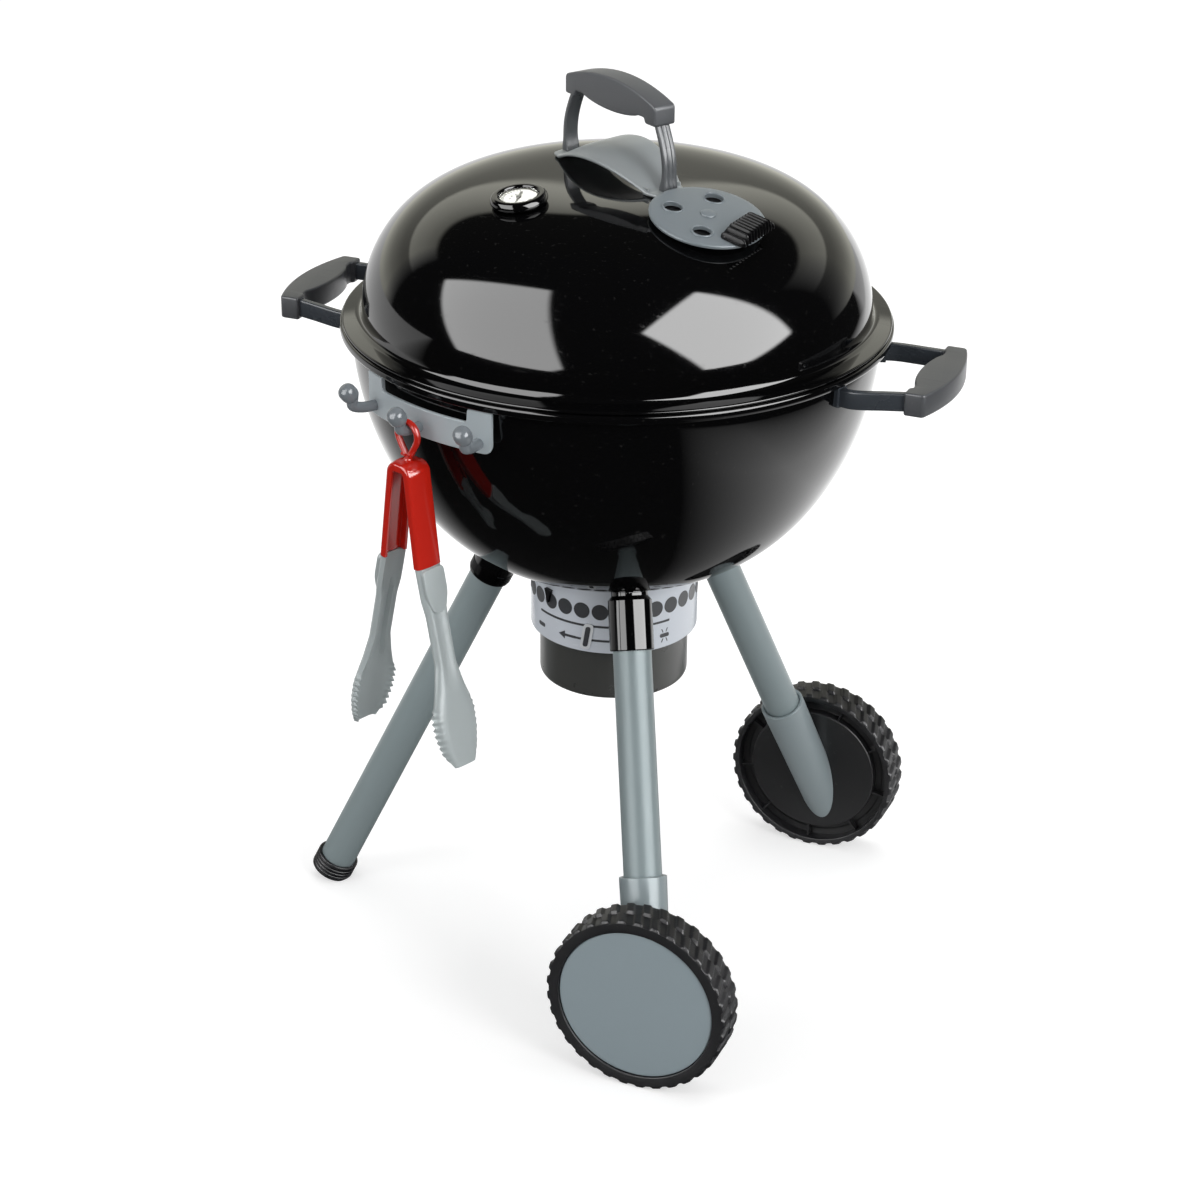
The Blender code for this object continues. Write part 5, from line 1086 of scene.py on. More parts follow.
def buildCollar(name, top):
    g = SimpleNamespace(**leg)
    angle = np.linspace(0, 2 * math.pi, g.steps, endpoint=False)
    bottom = -g.neckLength - g.collarLength
    boreTop = bottom + g.bore
    bore = g.tube + play
    wide, neckLow, e = g.collar, -g.neckLength, g.edge
    outer = [
        (bore, boreTop), (bore, bottom + e), (bore + 0.0005, bottom), (wide - e, bottom), (wide, bottom + e)
    ]
    if name == "foot":  # this one carries raised rings
        for ring in range(4):
            up, out = bottom + g.ringStart + g.ringPitch * ring, wide + g.ringRise
            outer += [(wide, up), (out, up + 0.0003), (out, up + 0.0008), (wide, up + 0.0011)]
    outer += [(wide, neckLow - e), (wide - e, neckLow), (g.neck, neckLow * 0.55)]
    rings = [circles(r, angle, z) for r, z in outer]
    for share in (1.0, 0.6, 0.2):
        rings.append(circles(g.neck * share, angle, riseToBowl(top, g.neck * share, angle) - 0.0002))
    pole = np.array([[0, 0, rings[-1][:, 2].mean()]])
    surface = placed(ringSurface(np.stack(rings), np.array([[0, 0, boreTop]]), pole), top)
    piece(f"collar_{name}", surface, "glossBlack", "stand", f"leg_collar_{name}")
    return boreTop


def buildLegs():
    g = SimpleNamespace(**leg)
    capBase = g.cap * math.sin(lean) - g.capFlat
    for name, azimuth in g.azimuths.items():
        top = legFrame(azimuth, meet)
        boreTop = buildCollar(name, top)
        if name == "foot":
            endHeight = capBase + g.capFloor * math.cos(lean)
        else:
            endHeight = g.sleeveTop - g.sleeveBore * math.cos(lean)
        low, high = (endHeight - meet) / math.cos(lean) + play, boreTop - play
        inner = g.tube - g.wall
        tube = turned([(inner, low), (g.tube, low), (g.tube, high), (inner, high)], g.steps, top)
        piece(f"legTube_{name}", tube, "legGrey", "stand", f"leg_tube_{name}")
        bore = g.tube + play
        if name == "foot":
            bottom = (capBase - meet) / math.cos(lean)
            rim = bottom + g.capLength
            ribs = [(0, bottom), (g.cap, bottom)]
            for ring in range(3):
                up, groove = bottom + g.ribStart + g.ribPitch * ring, g.cap - g.ribDeep
                ribs += [(g.cap, up), (groove, up + 0.0004), (groove, up + 0.0007), (g.cap, up + 0.0011)]
            floor = bottom + g.capFloor
            ribs += [(g.cap, rim), (bore, rim), (bore, floor), (0, floor)]
            radii = [0, 0.0008] + [0.0002] * 12 + [0.0008, 0.0004, 0, 0]
            cap = newMesh("footCap", turned(roundCorners(ribs, radii, 3), g.steps, top))
            reach = g.cap * 4
            ground = slab(boxSection(reach * 2, reach * 2, 0), move(*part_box("foot_cap")[0].xy), -reach, 0)
            carve(cap, [newMesh("ground", ground)])
            settle(cap, "tyreBlack", "stand", "foot_cap", slot="satin_black")
            continue
        side = -1 if name == "front" else 1
        rim = (g.sleeveTop - meet) / math.cos(lean)
        bottom = -meet / math.cos(lean)
        floor = rim - g.sleeveBore
        profile = roundCorners(
            [
                (0, bottom), (g.sleeveToe, bottom), (g.sleeve, (bottom + rim) / 2),
                (g.sleeveLip, rim - 0.004),
                (g.sleeveLip, rim), (bore + 0.0007, rim), (bore, rim - 0.0009), (bore, floor), (0, floor),
            ],
            [0, 0.0006, 0.01, 0.001, 0.0006, 0.0002, 0.0002, 0, 0], 4,
        )
        sleeve = newMesh(f"wheelSleeve_{name}", turned(profile, g.steps, top))
        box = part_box(f"wheel_sleeve_{name}")
        plane = box[0].y if side < 0 else box[1].y
        reach = 0.12
        middle = plane + side * reach / 2
        cutter = slab(boxSection(0.3, reach, 0), move(0.1, middle), -0.1, 0.3)
        carve(sleeve, [newMesh("trim", cutter)])
        settle(sleeve, "sleeveGrey", "stand", f"wheel_sleeve_{name}")


buildLegs()
useMaterial(paint["plainSteel"], "leg_screw_front", "leg_screw_rear", "leg_screw_foot")
print("legs built")

# Wheels: lugged tyre, drum with webs inside, flat hub cap
wheel = {
    "radius": 0.0576, "wide": 0.024, "lugs": 33, "lugDepth": 0.0021, "lugSlant": 4.5, "lugFloor": 0.18,
    "treadWall": 0.003, "sideWall": 0.003, "hubcap": 0.049, "hubcapThick": 0.0022,
    "hubcapInset": 0.0008,
    "hubcapEdge": 0.0009, "drumRecess": 0.0025, "drumFace": 0.0437, "drumStep": 0.0085,
    "drumWall": 0.0022, "drumPlate": 0.0025, "hub": 0.007, "hubDepth": 0.011, "webs": 9, "webThick": 0.0012,
    "webTurn": 12,
    "bore": 0.0033, "steps": 480,
    # half the gap between the rows, then where the shoulder starts, its width and its fall, as shares
    "rowGap": 0.045, "fallStart": 0.42, "fallWide": 0.08, "fall": 0.92,
}


def wheelFrame(name):
    joint = joints[f"wheel_{name}_spin"]
    side = -1 if name == "front" else 1
    return move(*joint["pos_m"]) @ spin("x", -90 * side)


def buildTyre(name, place):
    # Around: angle a. Across: v from the inner edge to the outer one. Two staggered rows of smooth lugs
    w = SimpleNamespace(**wheel)
    base = w.radius - w.lugDepth
    inner = base - w.treadWall
    opening = w.hubcap + play
    across = np.linspace(0, 1, 41)
    angle = np.linspace(0, 2 * math.pi, w.steps, endpoint=False)
    row = np.where(across < 0.5, 0.0, 0.5)
    middle = np.abs(across - 0.5)
    slant = math.radians(w.lugSlant) * (across - 0.5)
    phase = (angle[None] + slant[:, None] * 2) * w.lugs / (2 * math.pi) + row[:, None]
    pulse = np.clip(0.5 + 1.5 * np.cos(2 * math.pi * phase), 0, 1)
    pulse = pulse * pulse * (3 - 2 * pulse)
    rowMask = np.clip(middle / w.rowGap, 0, 1)
    shoulderDrop = np.clip((middle - w.fallStart) / w.fallWide, 0, 1)
    lugHeight = w.lugDepth * (w.lugFloor + 0.82 * pulse * rowMask[:, None])
    lugHeight *= np.sqrt(1 - w.fall * shoulderDrop[:, None] ** 2)
    tread = circles(base + lugHeight, angle, (across * w.wide)[:, None])
    side = roundCorners(
        [
            (base, w.wide), (opening, w.wide), (opening, w.wide - w.sideWall), (inner, w.wide - w.sideWall),
            (inner, 0), (base - 0.0004, 0),
        ],
        [0, 0.0006, 0, 0, 0.0005, 0], 3,
    )
    ring = circles(side[:, :1], angle, side[:, 1:])
    surface = placed(ringSurface(np.concatenate([tread, ring]), loop=True), place)
    piece(f"tyre_{name}Wheel", surface, "tyreBlack", f"wheel_{name}", f"tyre_{name}", sharp=50.0)


def buildWheel(name):
    w = SimpleNamespace(**wheel)
    place = wheelFrame(name)
    buildTyre(name, place)
    outer = w.hubcap - play
    back = w.wide - w.hubcapInset - w.hubcapThick
    wall, stepIn, faceIn = outer - w.drumWall, w.drumStep + w.drumWall, w.drumFace - w.drumWall
    plate, hubLow = w.drumRecess + w.drumPlate, w.wide - w.hubDepth
    profile = roundCorners(
        [
            (w.bore, w.drumRecess), (w.drumFace, w.drumRecess), (w.drumFace, w.drumStep),
            (outer, w.drumStep), (outer, back - play), (wall, back - play), (wall, stepIn),
            (faceIn, stepIn), (faceIn, plate), (w.hub, plate), (w.hub, hubLow), (w.bore, hubLow),
        ],
        [0, 0.0012, 0.0005, 0.0004, 0, 0, 0.0004, 0.0005, 0.0005, 0.0004, 0, 0], 4,
    )
    drum = [turned(profile, 128, place)]
    reachIn, reachOut = w.drumFace - 0.0005, w.radius - w.lugDepth - w.treadWall - 0.0002
    web = boxSection(reachOut - reachIn, w.webThick, 0.0002)
    web = slab(web, move((reachIn + reachOut) / 2), 0.0035, w.drumStep + 0.0005)
    drum.append(repeated(web, [place @ spin("z", 360 / w.webs * step + w.webTurn) for step in range(w.webs)]))
    ringOut = w.radius - w.lugDepth - w.treadWall + 0.0002
    ringIn, ringTop = outer - 0.001, w.drumStep + 0.0015
    floor = [(ringIn, w.drumStep), (ringOut, w.drumStep), (ringOut, ringTop), (ringIn, ringTop)]
    drum.append(turned(floor, 128, place))
    piece(
        f"drum_{name}Wheel", joined(drum), "satinBlack", f"wheel_{name}", f"wheel_drum_{name}",
        slot="gloss_black"
    )
    r = np.linspace(0, w.hubcap - 0.003, 10)
    crown = w.wide - w.hubcapInset
    face = np.stack([r, crown - play + 0 * r], 1)
    rim = roundCorners(
        [(w.hubcap - 0.0028, crown - play), (w.hubcap, crown - play), (w.hubcap, back)],
        [0.0, w.hubcapEdge, 0], 5,
    )
    spigotOut, spigotIn = wall - play, wall - 0.0023
    rear = [
        (spigotOut, back), (spigotOut, back - 0.004), (spigotIn, back - 0.004), (spigotIn, back), (0, back)
    ]
    profile = np.vstack([face, rim, rear])
    piece(f"hubcap_{name}Wheel", turned(profile, 160, place), "hubcapGrey", f"wheel_{name}", f"hubcap_{name}")


for wheelName in ("front", "rear"):
    buildWheel(wheelName)
useMaterial(paint["plainSteel"], "axle_front", "axle_rear", "axle_clip_front", "axle_clip_rear")
print("wheels built")

# Tongs: hanging loop and crown, two channel arms, two jaws with turned, toothed edges
tongs = {
    "hangShare": 0.5, "loopHalf": 0.0062, "loopWire": 0.0018, "loopLength": 0.0195, "loopRing": 0.0032,
    "crownHalf": 0.0026, "bowRadius": 0.0078, "bowThick": 0.0058, "bowWide": 0.018, "wall": 0.0024,
    "crown": 0.0013,
    "channel": 0.004, "edge": 0.0011, "armLength": 0.0555, "splay": 7.5,
    "jawLength": 0.122, "jawBend": 5.5, "socketWide": 0.0184, "neckWide": 0.0154, "bladeWide": 0.033,
    "tipWide": 0.017, "jawThick": 0.0024, "tongueWide": 0.0166, "tongueLong": 0.024, "tongueEdge": 0.0038,
    "groove": 0.0012, "teeth": 9, "toothDepth": 0.0013,
    "bladeStart": 0.68, "channelHalf": 0.34, "channelDeep": 0.001, "channelRib": 0.0022,
}


def tongsFrame():
    reach = rack["radius"] + rack["pegReach"] * tongs["hangShare"]
    return onAxis(rack["azimuth"]) @ move(reach, 0, pegHeight) @ spin("z", 90)


def crownTop():
    return rack["pegRadius"] + play - tongs["loopLength"] - tongs["loopRing"] * 0.4


def channelSection():
    # A C section, open towards -X: X is the thickness, Y the width
    t = SimpleNamespace(**tongs)
    half, deep = t.bowWide / 2, -t.bowThick + t.channel
    c = t.crown
    corners = [
        (-c, -half), (-c * 0.25, -half * 0.5), (0, 0), (-c * 0.25, half * 0.5), (-c, half),
        (-t.bowThick, half), (-t.bowThick, half - t.wall), (deep, half - t.wall),
        (deep, -half + t.wall), (-t.bowThick, -half + t.wall), (-t.bowThick, -half),
    ]
    e = t.edge
    return roundCorners(corners, [e * 1.6, e * 2, e * 2, e * 2, e * 1.6] + [e * 0.6] * 6, 5)


def armFrames():
    t = SimpleNamespace(**tongs)
    splay = math.radians(t.splay)
    turn = np.linspace(0, math.pi / 2 - splay, 14)
    x = t.crownHalf + 0.0001 + t.bowRadius * np.sin(turn)
    z = crownTop() - t.bowRadius * (1 - np.cos(turn))
    frames = [move(a, 0, b) @ spin("y", 90 + math.degrees(c)) @ spin("z", 180) for a, b, c in zip(x, z, turn)]
    frames += [frames[-1] @ move(z=t.armLength * share) for share in np.linspace(0.1, 1, 10)]
    return np.stack(frames)


def jawSurface(end):
    t = SimpleNamespace(**tongs)
    length = t.jawLength
    place = np.concatenate([[0, 0.02, 0.05, 0.1, 0.16], np.linspace(0.2, 0.995, 150)])
    # Half width: socket, waist, then a leaf blade that narrows to its tip
    key = [0, 0.16, 0.24, 0.48, 0.6, 0.73, 0.83, 0.92, 0.975, 1.0]
    blade = [t.bladeWide * share for share in (0.98, 0.96, 0.8)]
    ends = [t.neckWide, t.neckWide, t.neckWide * 1.45, *blade, t.tipWide * 1.15, t.tipWide * 0.9]
    wide = np.array([t.socketWide, t.socketWide, *ends])
    half = splineValue(place, key, wide) / 2
    fold = splineValue(
        place, key, [0.0034, 0.0034, 0.003, 0.0034, 0.0034, 0.003, 0.003, 0.0028, 0.0022, 0.0016]
    )
    inBlade = np.clip((place - t.bladeStart) / 0.03, 0, 1) * np.clip((0.965 - place) / 0.02, 0, 1)
    wave = (place - t.bladeStart) / (0.97 - t.bladeStart) * t.teeth
    tooth = inBlade * t.toothDepth * (1 - np.abs(2 * (wave % 1) - 1)) * 2
    # Section: a shallow tray. u runs across, and x = -fold |u|^6 - tooth |u|^14 turns its edges in
    u = np.concatenate([np.linspace(-1, -0.8, 5), np.linspace(-0.7, 0.7, 9), np.linspace(0.8, 1, 5)])
    groove = t.groove * np.clip((place - 0.16) / 0.05, 0, 1) * np.clip((0.62 - place) / 0.14, 0, 1)
    depth = fold[:, None] * np.abs(u) ** 6 + tooth[:, None] * np.abs(u) ** 14
    depth = depth + groove[:, None] * np.clip(1.6 - 2.6 * np.abs(u), 0, 1)
    # The shank's inner side is a channel: deep inside |u| < h, with ribs beside it
    shank = np.clip((place - 0.17) / 0.02, 0, 1) * np.clip((0.7 - place) / 0.12, 0, 1)
    walls = np.clip((np.abs(u) - t.channelHalf) / 0.16, 0, 1)
    carved = shank[:, None] * (t.channelDeep * (1 - walls) - t.channelRib * walls)
    flatOut, flatIn = -depth, -depth - t.jawThick + carved
    wideIn = np.maximum(half - t.jawThick * 0.55, 0.001)
    ringX = np.concatenate([flatOut, np.maximum(flatIn, -t.bowThick - tooth[:, None])[:, ::-1]], 1)
    ringY = np.concatenate([u[None] * half[:, None], (u[None] * wideIn[:, None])[:, ::-1]], 1)
    frames = np.stack([end @ spin("y", t.jawBend) @ move(z=share * length) for share in place])
    return swept(np.stack([ringX, ringY], -1), frames)


def splineValue(place, key, values):
    # Straight lines between the key places, averaged with a bell-shaped window
    fine = np.linspace(0, 1, 401)
    raw = np.interp(fine, key, values)
    kernel = np.hanning(23)
    kernel /= kernel.sum()
    soft = np.convolve(np.pad(raw, 11, mode="edge"), kernel, mode="valid")
    return np.interp(place, fine, soft)


def buildTongs():
    t = SimpleNamespace(**tongs)
    hang = tongsFrame()
    top = rack["pegRadius"] + play
    # Loop: a teardrop wire x = h cos a (1 - taper), z falls below its centre by f^2 (L - 2h)
    a = np.linspace(-math.pi / 2, 1.5 * math.pi, 60, endpoint=False)
    grow = t.loopHalf + t.loopWire
    fall = np.clip(-np.sin(a), 0, 1)
    x = grow * np.cos(a) * (1 - 0.55 * fall**2)
    z = top - t.loopHalf + grow * np.sin(a) - fall**2 * (t.loopLength - 2 * t.loopHalf - 0.002)
    path = np.stack([x, 0 * x, z], 1)
    wireRing = roundSection(t.loopWire, 18) * np.array([1, 1.15])
    loop = [placed(swept(wireRing, pathFrames(path, (0, 1.0, 0), True), closed=True), hang)]
    neckTop = z.min() + 0.002
    neck = np.linspace(0, 1, 8)
    neckWide = 0.0021 + 0.0022 * (neck - 0.45) ** 2 / 0.3
    stack = np.stack(
        [hang @ move(z=crownTop() - 0.001 + share * (neckTop - crownTop() + 0.001)) for share in neck]
    )
    loop.append(swept(neckWide[:, None, None] * roundSection(1.0, 18)[None], stack))
    section = channelSection()
    bends = [hang @ move(step * t.crownHalf, 0, crownTop()) for step in (-1, 0, 1)]
    crown = np.stack([bend @ spin("y", 90) @ spin("z", 180) for bend in bends])
    loop.append(swept(section, crown))
    piece("tongsLoop", joined(loop), "tongsRed", "tongs", "tongs_loop")
    mirror = np.diag([-1.0, 1.0, 1.0, 1.0])
    for name, flip in (("right", np.eye(4)), ("left", mirror)):
        frames = armFrames()
        arm = placed(swept(section, flip @ frames), hang)
        piece(f"tongsArm_{name}", arm, "tongsRed", f"tongs_{name}", f"tongs_arm_{name}")
        jaw = jawSurface(frames[-1])
        wide, long = t.tongueWide / 2, t.tongueLong
        tip = [(wide, long * 0.55), (wide * 0.55, long), (-wide * 0.55, long), (-wide, long * 0.55)]
        tongue = roundCorners([(-wide, -0.003), (wide, -0.003)] + tip, t.tongueEdge)
        # The socket's raised tongue: its outline lies on the jaw's outer face
        face = frames[-1] @ spin("y", t.jawBend) @ move(-0.0003, 0, 0.0035) @ spin("y", 90) @ spin("z", 90)
        raised = padded(tongue, 0.003, 0.0008, face)
        surface = placed(joined([jaw, raised]), hang @ flip)
        piece(f"tongsJaw_{name}", surface, "jawGrey", f"tongs_{name}", f"tongs_jaw_{name}")


buildTongs()
print("tongs built")

# Grates: wire ring, parallel rods, two cross bars under them


def buildGrate(name, finish, body, raised):
    g = SimpleNamespace(**grates[name])
    level = onAxis() @ move(z=g.height)
    ringProfile = roundSection(g.ring, 16) + np.array([g.radius, 0])
    surfaces = [turned(ringProfile, 160, level)]
    rise = g.ring * 0.55 if raised else 0.0
    pitch = 2 * g.radius / (g.rods + 1)
    y = -g.radius + pitch * np.arange(1, g.rods + 1)
    reach = np.sqrt(g.radius ** 2 - y**2) + g.overhang
    cap = np.sin(np.linspace(0, math.pi / 2, 5))
    taper = np.concatenate(
        [np.sqrt(1 - cap[::-1][:-1] ** 2) + 0.02, [1, 1], np.sqrt(1 - cap[1:] ** 2) + 0.02]
    )

    def rod(half, matrix):
        run = np.concatenate([-half - g.rod * cap[::-1][:-1], [-half, half], half + g.rod * cap[1:]])
        frames = np.stack([matrix @ move(along) @ spin("y", 90) for along in run])
        return swept(taper[:, None, None] * roundSection(g.rod, 12)[None], frames)

    for across, half in zip(y, reach):
        surfaces.append(rod(half, level @ move(0, across, rise)))
    for side in (-1, 1):
        x = side * g.radius * 0.24
        half = math.sqrt(g.radius ** 2 - x**2) - pitch * 0.8
        surfaces.append(rod(half, level @ move(x, 0, rise - 2 * g.rod * 0.55) @ spin("z", 90)))
    piece(f"{name}Grate", joined(surfaces), finish, body, f"{name}_grate")


buildGrate("cooking", "cookingGrey", "cooking_rack", False)
buildGrate("charcoal", "charcoalGrey", "charcoal_rack", True)

# Coals: rounded barrels on a mound; their creases glow
coals = {
    "radius": 0.019, "length": 0.044, "lower": 7, "upper": 3, "lowerRing": 0.052, "upperRing": 0.023,
    "lowerHeight": 0.0185, "upperHeight": 0.04, "moundRadius": 0.062, "power": 4.0,
    "glowReach": 0.35, "voxel": 0.0013, "fill": 0.94, "moundGap": 1.12, "moundReach": 0.1,
    "moundRise": 0.0033,
}


def coalMatrices():
    matrices = []
    for index, sway in zip(range(coals["lower"]), (0.2, -0.5, 0.9, -0.2, 0.6, -0.8, 0.1)):
        turn = spin("z", 360.0 * index / coals["lower"]) @ move(coals["lowerRing"], 0, coals["lowerHeight"])
        matrices.append(turn @ spin("z", 70.0 + 35.0 * sway) @ spin("y", 90.0 + 14.0 * sway))
    for index, sway in zip(range(coals["upper"]), (0.7, -0.3, -0.9)):
        place = move(coals["upperRing"], 0, coals["upperHeight"])
        turn = spin("z", 360.0 * index / coals["upper"] + 25.0) @ place
        matrices.append(turn @ spin("z", 40.0 + 50.0 * sway) @ spin("y", 75.0 + 20.0 * sway))
    return matrices


def buildCoals():
    c = SimpleNamespace(**coals)
    base = onAxis() @ move(z=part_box("coal_base")[0].z)
    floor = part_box("coal_heap")[0].z
    # Superellipsoid barrel: r = R (1 - |s|^p)^(1/p) along s, squarish round its section
    s = np.sin(np.linspace(-math.pi / 2, math.pi / 2, 33))[1:-1]
    a = np.linspace(0, 2 * math.pi, 56, endpoint=False)
    bulge = (1 - np.abs(s) ** c.power) ** (1 / c.power)
    squarish = 1 / (np.abs(np.cos(a)) ** 3 + np.abs(np.sin(a)) ** 3) ** (1 / 3)
    r = c.radius * bulge[:, None] * squarish[None] * c.fill
    rings = circles(r, a, (s * c.length / 2)[:, None])
    poles = [np.array([[0, 0, end * c.length / 2]]) for end in (-1, 1)]
    barrel = ringSurface(rings, *poles)
    matrices = coalMatrices()
    shapes = [placed(barrel, base @ matrix) for matrix in matrices]
    mound = domeCurve(c.moundRadius, c.upperHeight + 0.004, 3.0, 2.0, 12, 14)
    low = np.array([0, c.moundRise])
    profile = np.vstack([low[None], low + (c.moundRadius, 0), mound[1:] + low])
    shapes.append(turned(profile, 64, base))
    made = newMesh("coalHeap", joined(shapes))
    fuse = made.modifiers.new("fuse", "REMESH")
    fuse.mode = "VOXEL"
    fuse.voxel_size = c.voxel
    mesh = bakeModifiers(made)
    points = np.empty(len(mesh.vertices) * 3, np.float32)
    mesh.vertices.foreach_get("co", points)
    points = points.reshape(-1, 3)
    points[:, 2] = np.maximum(points[:, 2], floor)  # flat underneath
    mesh.vertices.foreach_set("co", points.ravel())
    mesh.update()
    mesh.shade_smooth()
    # Heat: a point's unit distance to the second nearest coal, and full heat on the mound between them
    gaps = []
    for matrix in matrices:
        local = carried(points, np.linalg.inv(base @ matrix))
        gaps.append(np.linalg.norm(local / np.array([c.radius, c.radius, c.length / 2]), axis=1))
    gaps = np.sort(np.stack(gaps), axis=0)
    heat = np.clip(1 - (gaps[1] - 1.0) / c.glowReach, 0, 1)
    heat = np.maximum(heat, np.clip((gaps[0] - c.moundGap) / c.moundReach, 0, 1))
    attribute = mesh.attributes.new("heat", "FLOAT", "POINT")
    attribute.data.foreach_set("value", heat.astype(np.float32))
    settle(made, "coalBlack", "coal_unit", "coal_heap")


buildCoals()
useMaterial(paint["satinBlack"], "coal_base", "battery_cover")
useMaterial(paint["glowRed"], "coal_glow_dome")
print("grates and coals built")

# Camera at the photograph's place, floor, lamps, world
view = {
    "azimuth": 22.34, "elevation": 25.39, "roll": 0.6, "distance": 1.8988, "target": 0.231,
    "lens": 90.63, "sensor": 36.0, "shiftX": -14.1 / 1200, "shiftY": 5.2 / 1200,
}


def buildCamera():
    az, el, roll = (math.radians(view[key]) for key in ("azimuth", "elevation", "roll"))
    back = np.array([math.sin(az) * math.cos(el), -math.cos(az) * math.cos(el), math.sin(el)])
    right = np.array([math.cos(az), math.sin(az), 0.0])
    up = np.cross(back, right)
    rolledRight = right * math.cos(roll) + up * math.sin(roll)
    rolledUp = up * math.cos(roll) - right * math.sin(roll)
    place = np.array(centre) + (0, 0, view["target"]) + back * view["distance"]
    data = bpy.data.cameras.new("camera")
    data.sensor_width, data.lens = view["sensor"], view["lens"]
    data.shift_x, data.shift_y = view["shiftX"], view["shiftY"]
    camera = linked(bpy.data.objects.new("camera", data))
    camera.matrix_world = frameOf(rolledRight, rolledUp, back, place).T.tolist()
    bpy.context.scene.camera = camera


studio = {
    # lamps for the plain light: place, aim, width, height, watts
    "lamps": {
        "key": ((-1.1, -1.5, 1.5), (0, 0, 0.35), 0.8, 0.6, 8.0),
        "fill": ((1.7, -1.0, 1.2), (0, 0, 0.35), 0.7, 0.6, 17.0),
        "top": ((0.0, 0.5, 2.4), (0, 0, 0.3), 2.0, 1.6, 20.0),
    },
    "ambient": 0.55, "floorSize": 12.0, "floorTone": 0.62, "floorGlow": 0.52, "farGlow": 0.1,
    # where gloss finds the floor bright: its start and its steepness
    "brightStart": 0.12, "brightRate": 1.75, "glossGain": 1.5, "besideShare": 0.65,
    # what gloss sees: panels as (middle, across, up), then (middle, half) of u and v, then strength
    "panels": {
        "left": (
            (-0.5385, -0.737, 0.4086), (0.816, -0.335, 0.471), (-0.21, 0.587, 0.782), (-0.025, 0.495),
            (-0.05, 0.74), 6.8
        ),
        "right": (
            (0.894, -0.156, 0.42), (0.448, 0.343, -0.8265), (-0.015, 0.926, 0.376), (-0.075, 0.575),
            (-0.13, 0.47), 12.0
        ),
    },
    "panelEdge": 0.05, "frontTone": 0.02,
    # tone of the room behind the object against the sine of the elevation
    "backTones": (
        (0.0, 1.1), (0.06, 0.85), (0.13, 0.62), (0.24, 0.42), (0.31, 0.4), (0.33, 1.25),
        (0.45, 1.05), (0.53, 0.78), (0.56, 0.0),
    ),
    "backWarmth": (1.0, 0.99, 0.87),
}


def splitAxes(place):
    return addNode(place.id_data, "SeparateXYZ", {0: place}).outputs


def buildFloor():
    size = studio["floorSize"]
    corners = np.array([(-size, -size, 0), (size, -size, 0), (size, size, 0), (-size, size, 0)])
    floor = newMesh("floor", (corners, [np.array([[0, 1, 2, 3]])]))
    material, tree, shader = newMaterial("floorWhite")
    tone = studio["floorTone"]
    feed(shader, {"Base Color": (tone, tone, tone, 1.0), "Roughness": 0.9, "Specular IOR Level": 0.0})
    # The camera sees it white with a soft shadow. Gloss sees it dark in front, pale behind and beside
    rays = addNode(tree, "LightPath").outputs
    x, y = splitAxes(addNode(tree, "TexCoord").outputs["Object"])[:2]
    across = mathNode("ABSOLUTE", x)
    reach = plus(y, plus(times(across, 0.8), times(x, 0.3)))
    bright = clamped(times(minus(reach, studio["brightStart"]), studio["brightRate"]))
    near = clamped(times(minus(0.95, across), 2.2))
    rear = times(clamped(times(minus(times(y, 0.5), x), 3.0)), studio["besideShare"])
    seen = times(times(bright, largest(near, rear)), studio["glossGain"])
    seen = times(rays["Is Glossy Ray"], seen)
    white = plus(times(bright, studio["farGlow"]), studio["floorGlow"])
    white = times(rays["Is Camera Ray"], white)
    glow = addNode(tree, "Emission", {"Strength": plus(seen, white)}).outputs[0]
    dark = addNode(tree, "Emission", {"Strength": studio["frontTone"]}).outputs[0]
    pick = addNode(tree, "MixShader", {0: rays["Is Glossy Ray"], 1: shader.outputs[0], 2: dark}).outputs[0]
    total = addNode(tree, "AddShader", {0: pick, 1: glow}).outputs[0]
    feed(tree.nodes["Material Output"], {"Surface": total})
    floor.data.materials.append(material)


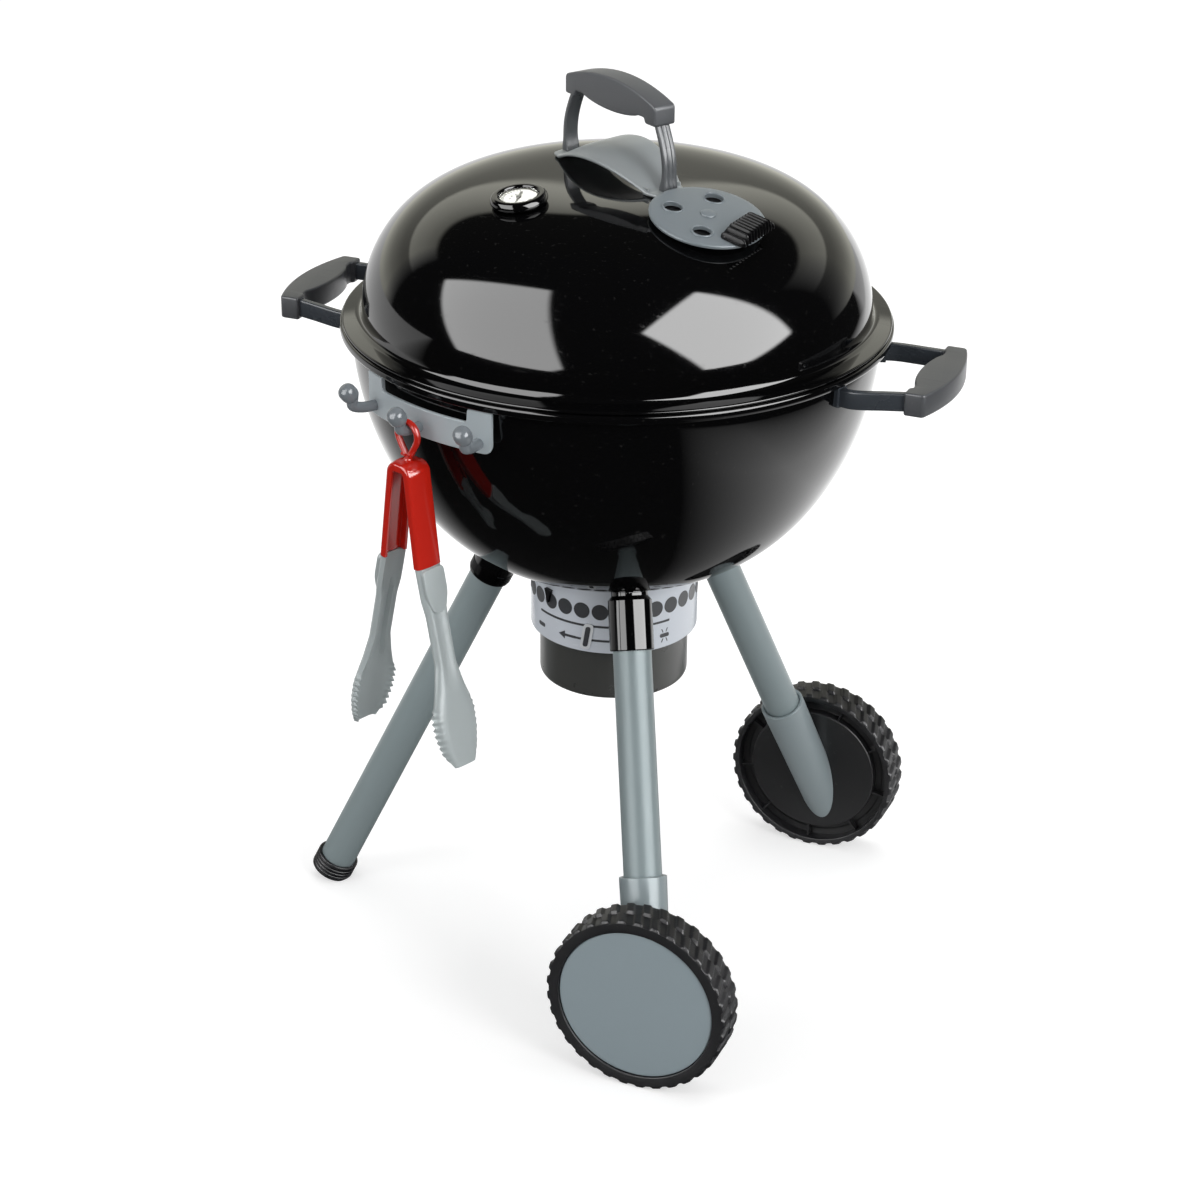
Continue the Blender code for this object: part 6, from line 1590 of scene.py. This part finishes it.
def buildLamps():
    for name, (place, aim, wide, high, watts) in studio["lamps"].items():
        data = bpy.data.lights.new(name, "AREA")
        data.shape, data.size, data.size_y, data.energy = "RECTANGLE", wide, high, watts
        lamp = linked(bpy.data.objects.new(name, data))
        back = unit(np.array(place) - np.array(aim))
        right = unit(np.cross((0, 0, 1.0), back))
        lamp.matrix_world = frameOf(right, np.cross(back, right), back, place).T.tolist()
        lamp.visible_glossy = False


def dotNode(direction, vector):
    node = addNode(direction.id_data, "VectorMath", {0: direction, 1: vector})
    node.operation = "DOT_PRODUCT"
    return node.outputs["Value"]


def panelMask(direction, middle, across, up, uRange, vRange):
    # One where u = d.across / d.middle and v = d.up / d.middle are inside their ranges, with soft edges
    ahead = dotNode(direction, middle)
    mask = clamped(times(ahead, 20.0))
    for axis, (centreAt, half) in ((across, uRange), (up, vRange)):
        share = ratio(dotNode(direction, axis), largest(ahead, 0.001))
        away = mathNode("ABSOLUTE", minus(share, centreAt))
        mask = times(mask, clamped(ratio(minus(half, away), studio["panelEdge"])))
    return mask


def buildWorld():
    world = bpy.data.worlds.new("studio")
    bpy.context.scene.world = world
    world.use_nodes = True
    tree = world.node_tree
    rays, direction = addNode(tree, "LightPath").outputs, addNode(tree, "TexCoord").outputs["Generated"]
    x, y, z = splitAxes(direction)
    # Gloss sees a pale room behind the object, a dark one in front and above, and two bright panels
    room = colourRamp(z, [(place, (tone, tone, tone)) for place, tone in studio["backTones"]])
    behind = times(clamped(times(minus(y, 0.1), 5.5)), clamped(times(minus(0.75, x), 2.9)))
    glossy = plus(times(room, behind), studio["frontTone"])
    for *shape, strength in studio["panels"].values():
        glossy = plus(glossy, times(panelMask(direction, *shape), strength))
    gloss = rays["Is Glossy Ray"]
    plain = largest(rays["Is Camera Ray"], rays["Is Transmission Ray"])
    ambient = times(minus(1.0, largest(gloss, plain)), studio["ambient"])
    feed(tree.nodes["Background"], {
        "Strength": plus(plus(times(gloss, glossy), plain), ambient),
        "Color": mixedColour(times(behind, gloss), (1.0, 1.0, 1.0, 1.0), (*studio["backWarmth"], 1.0)),
    })


buildCamera()
buildFloor()
buildLamps()
buildWorld()
bpy.context.scene.view_settings.view_transform = "Standard"
print("camera, floor and light built")
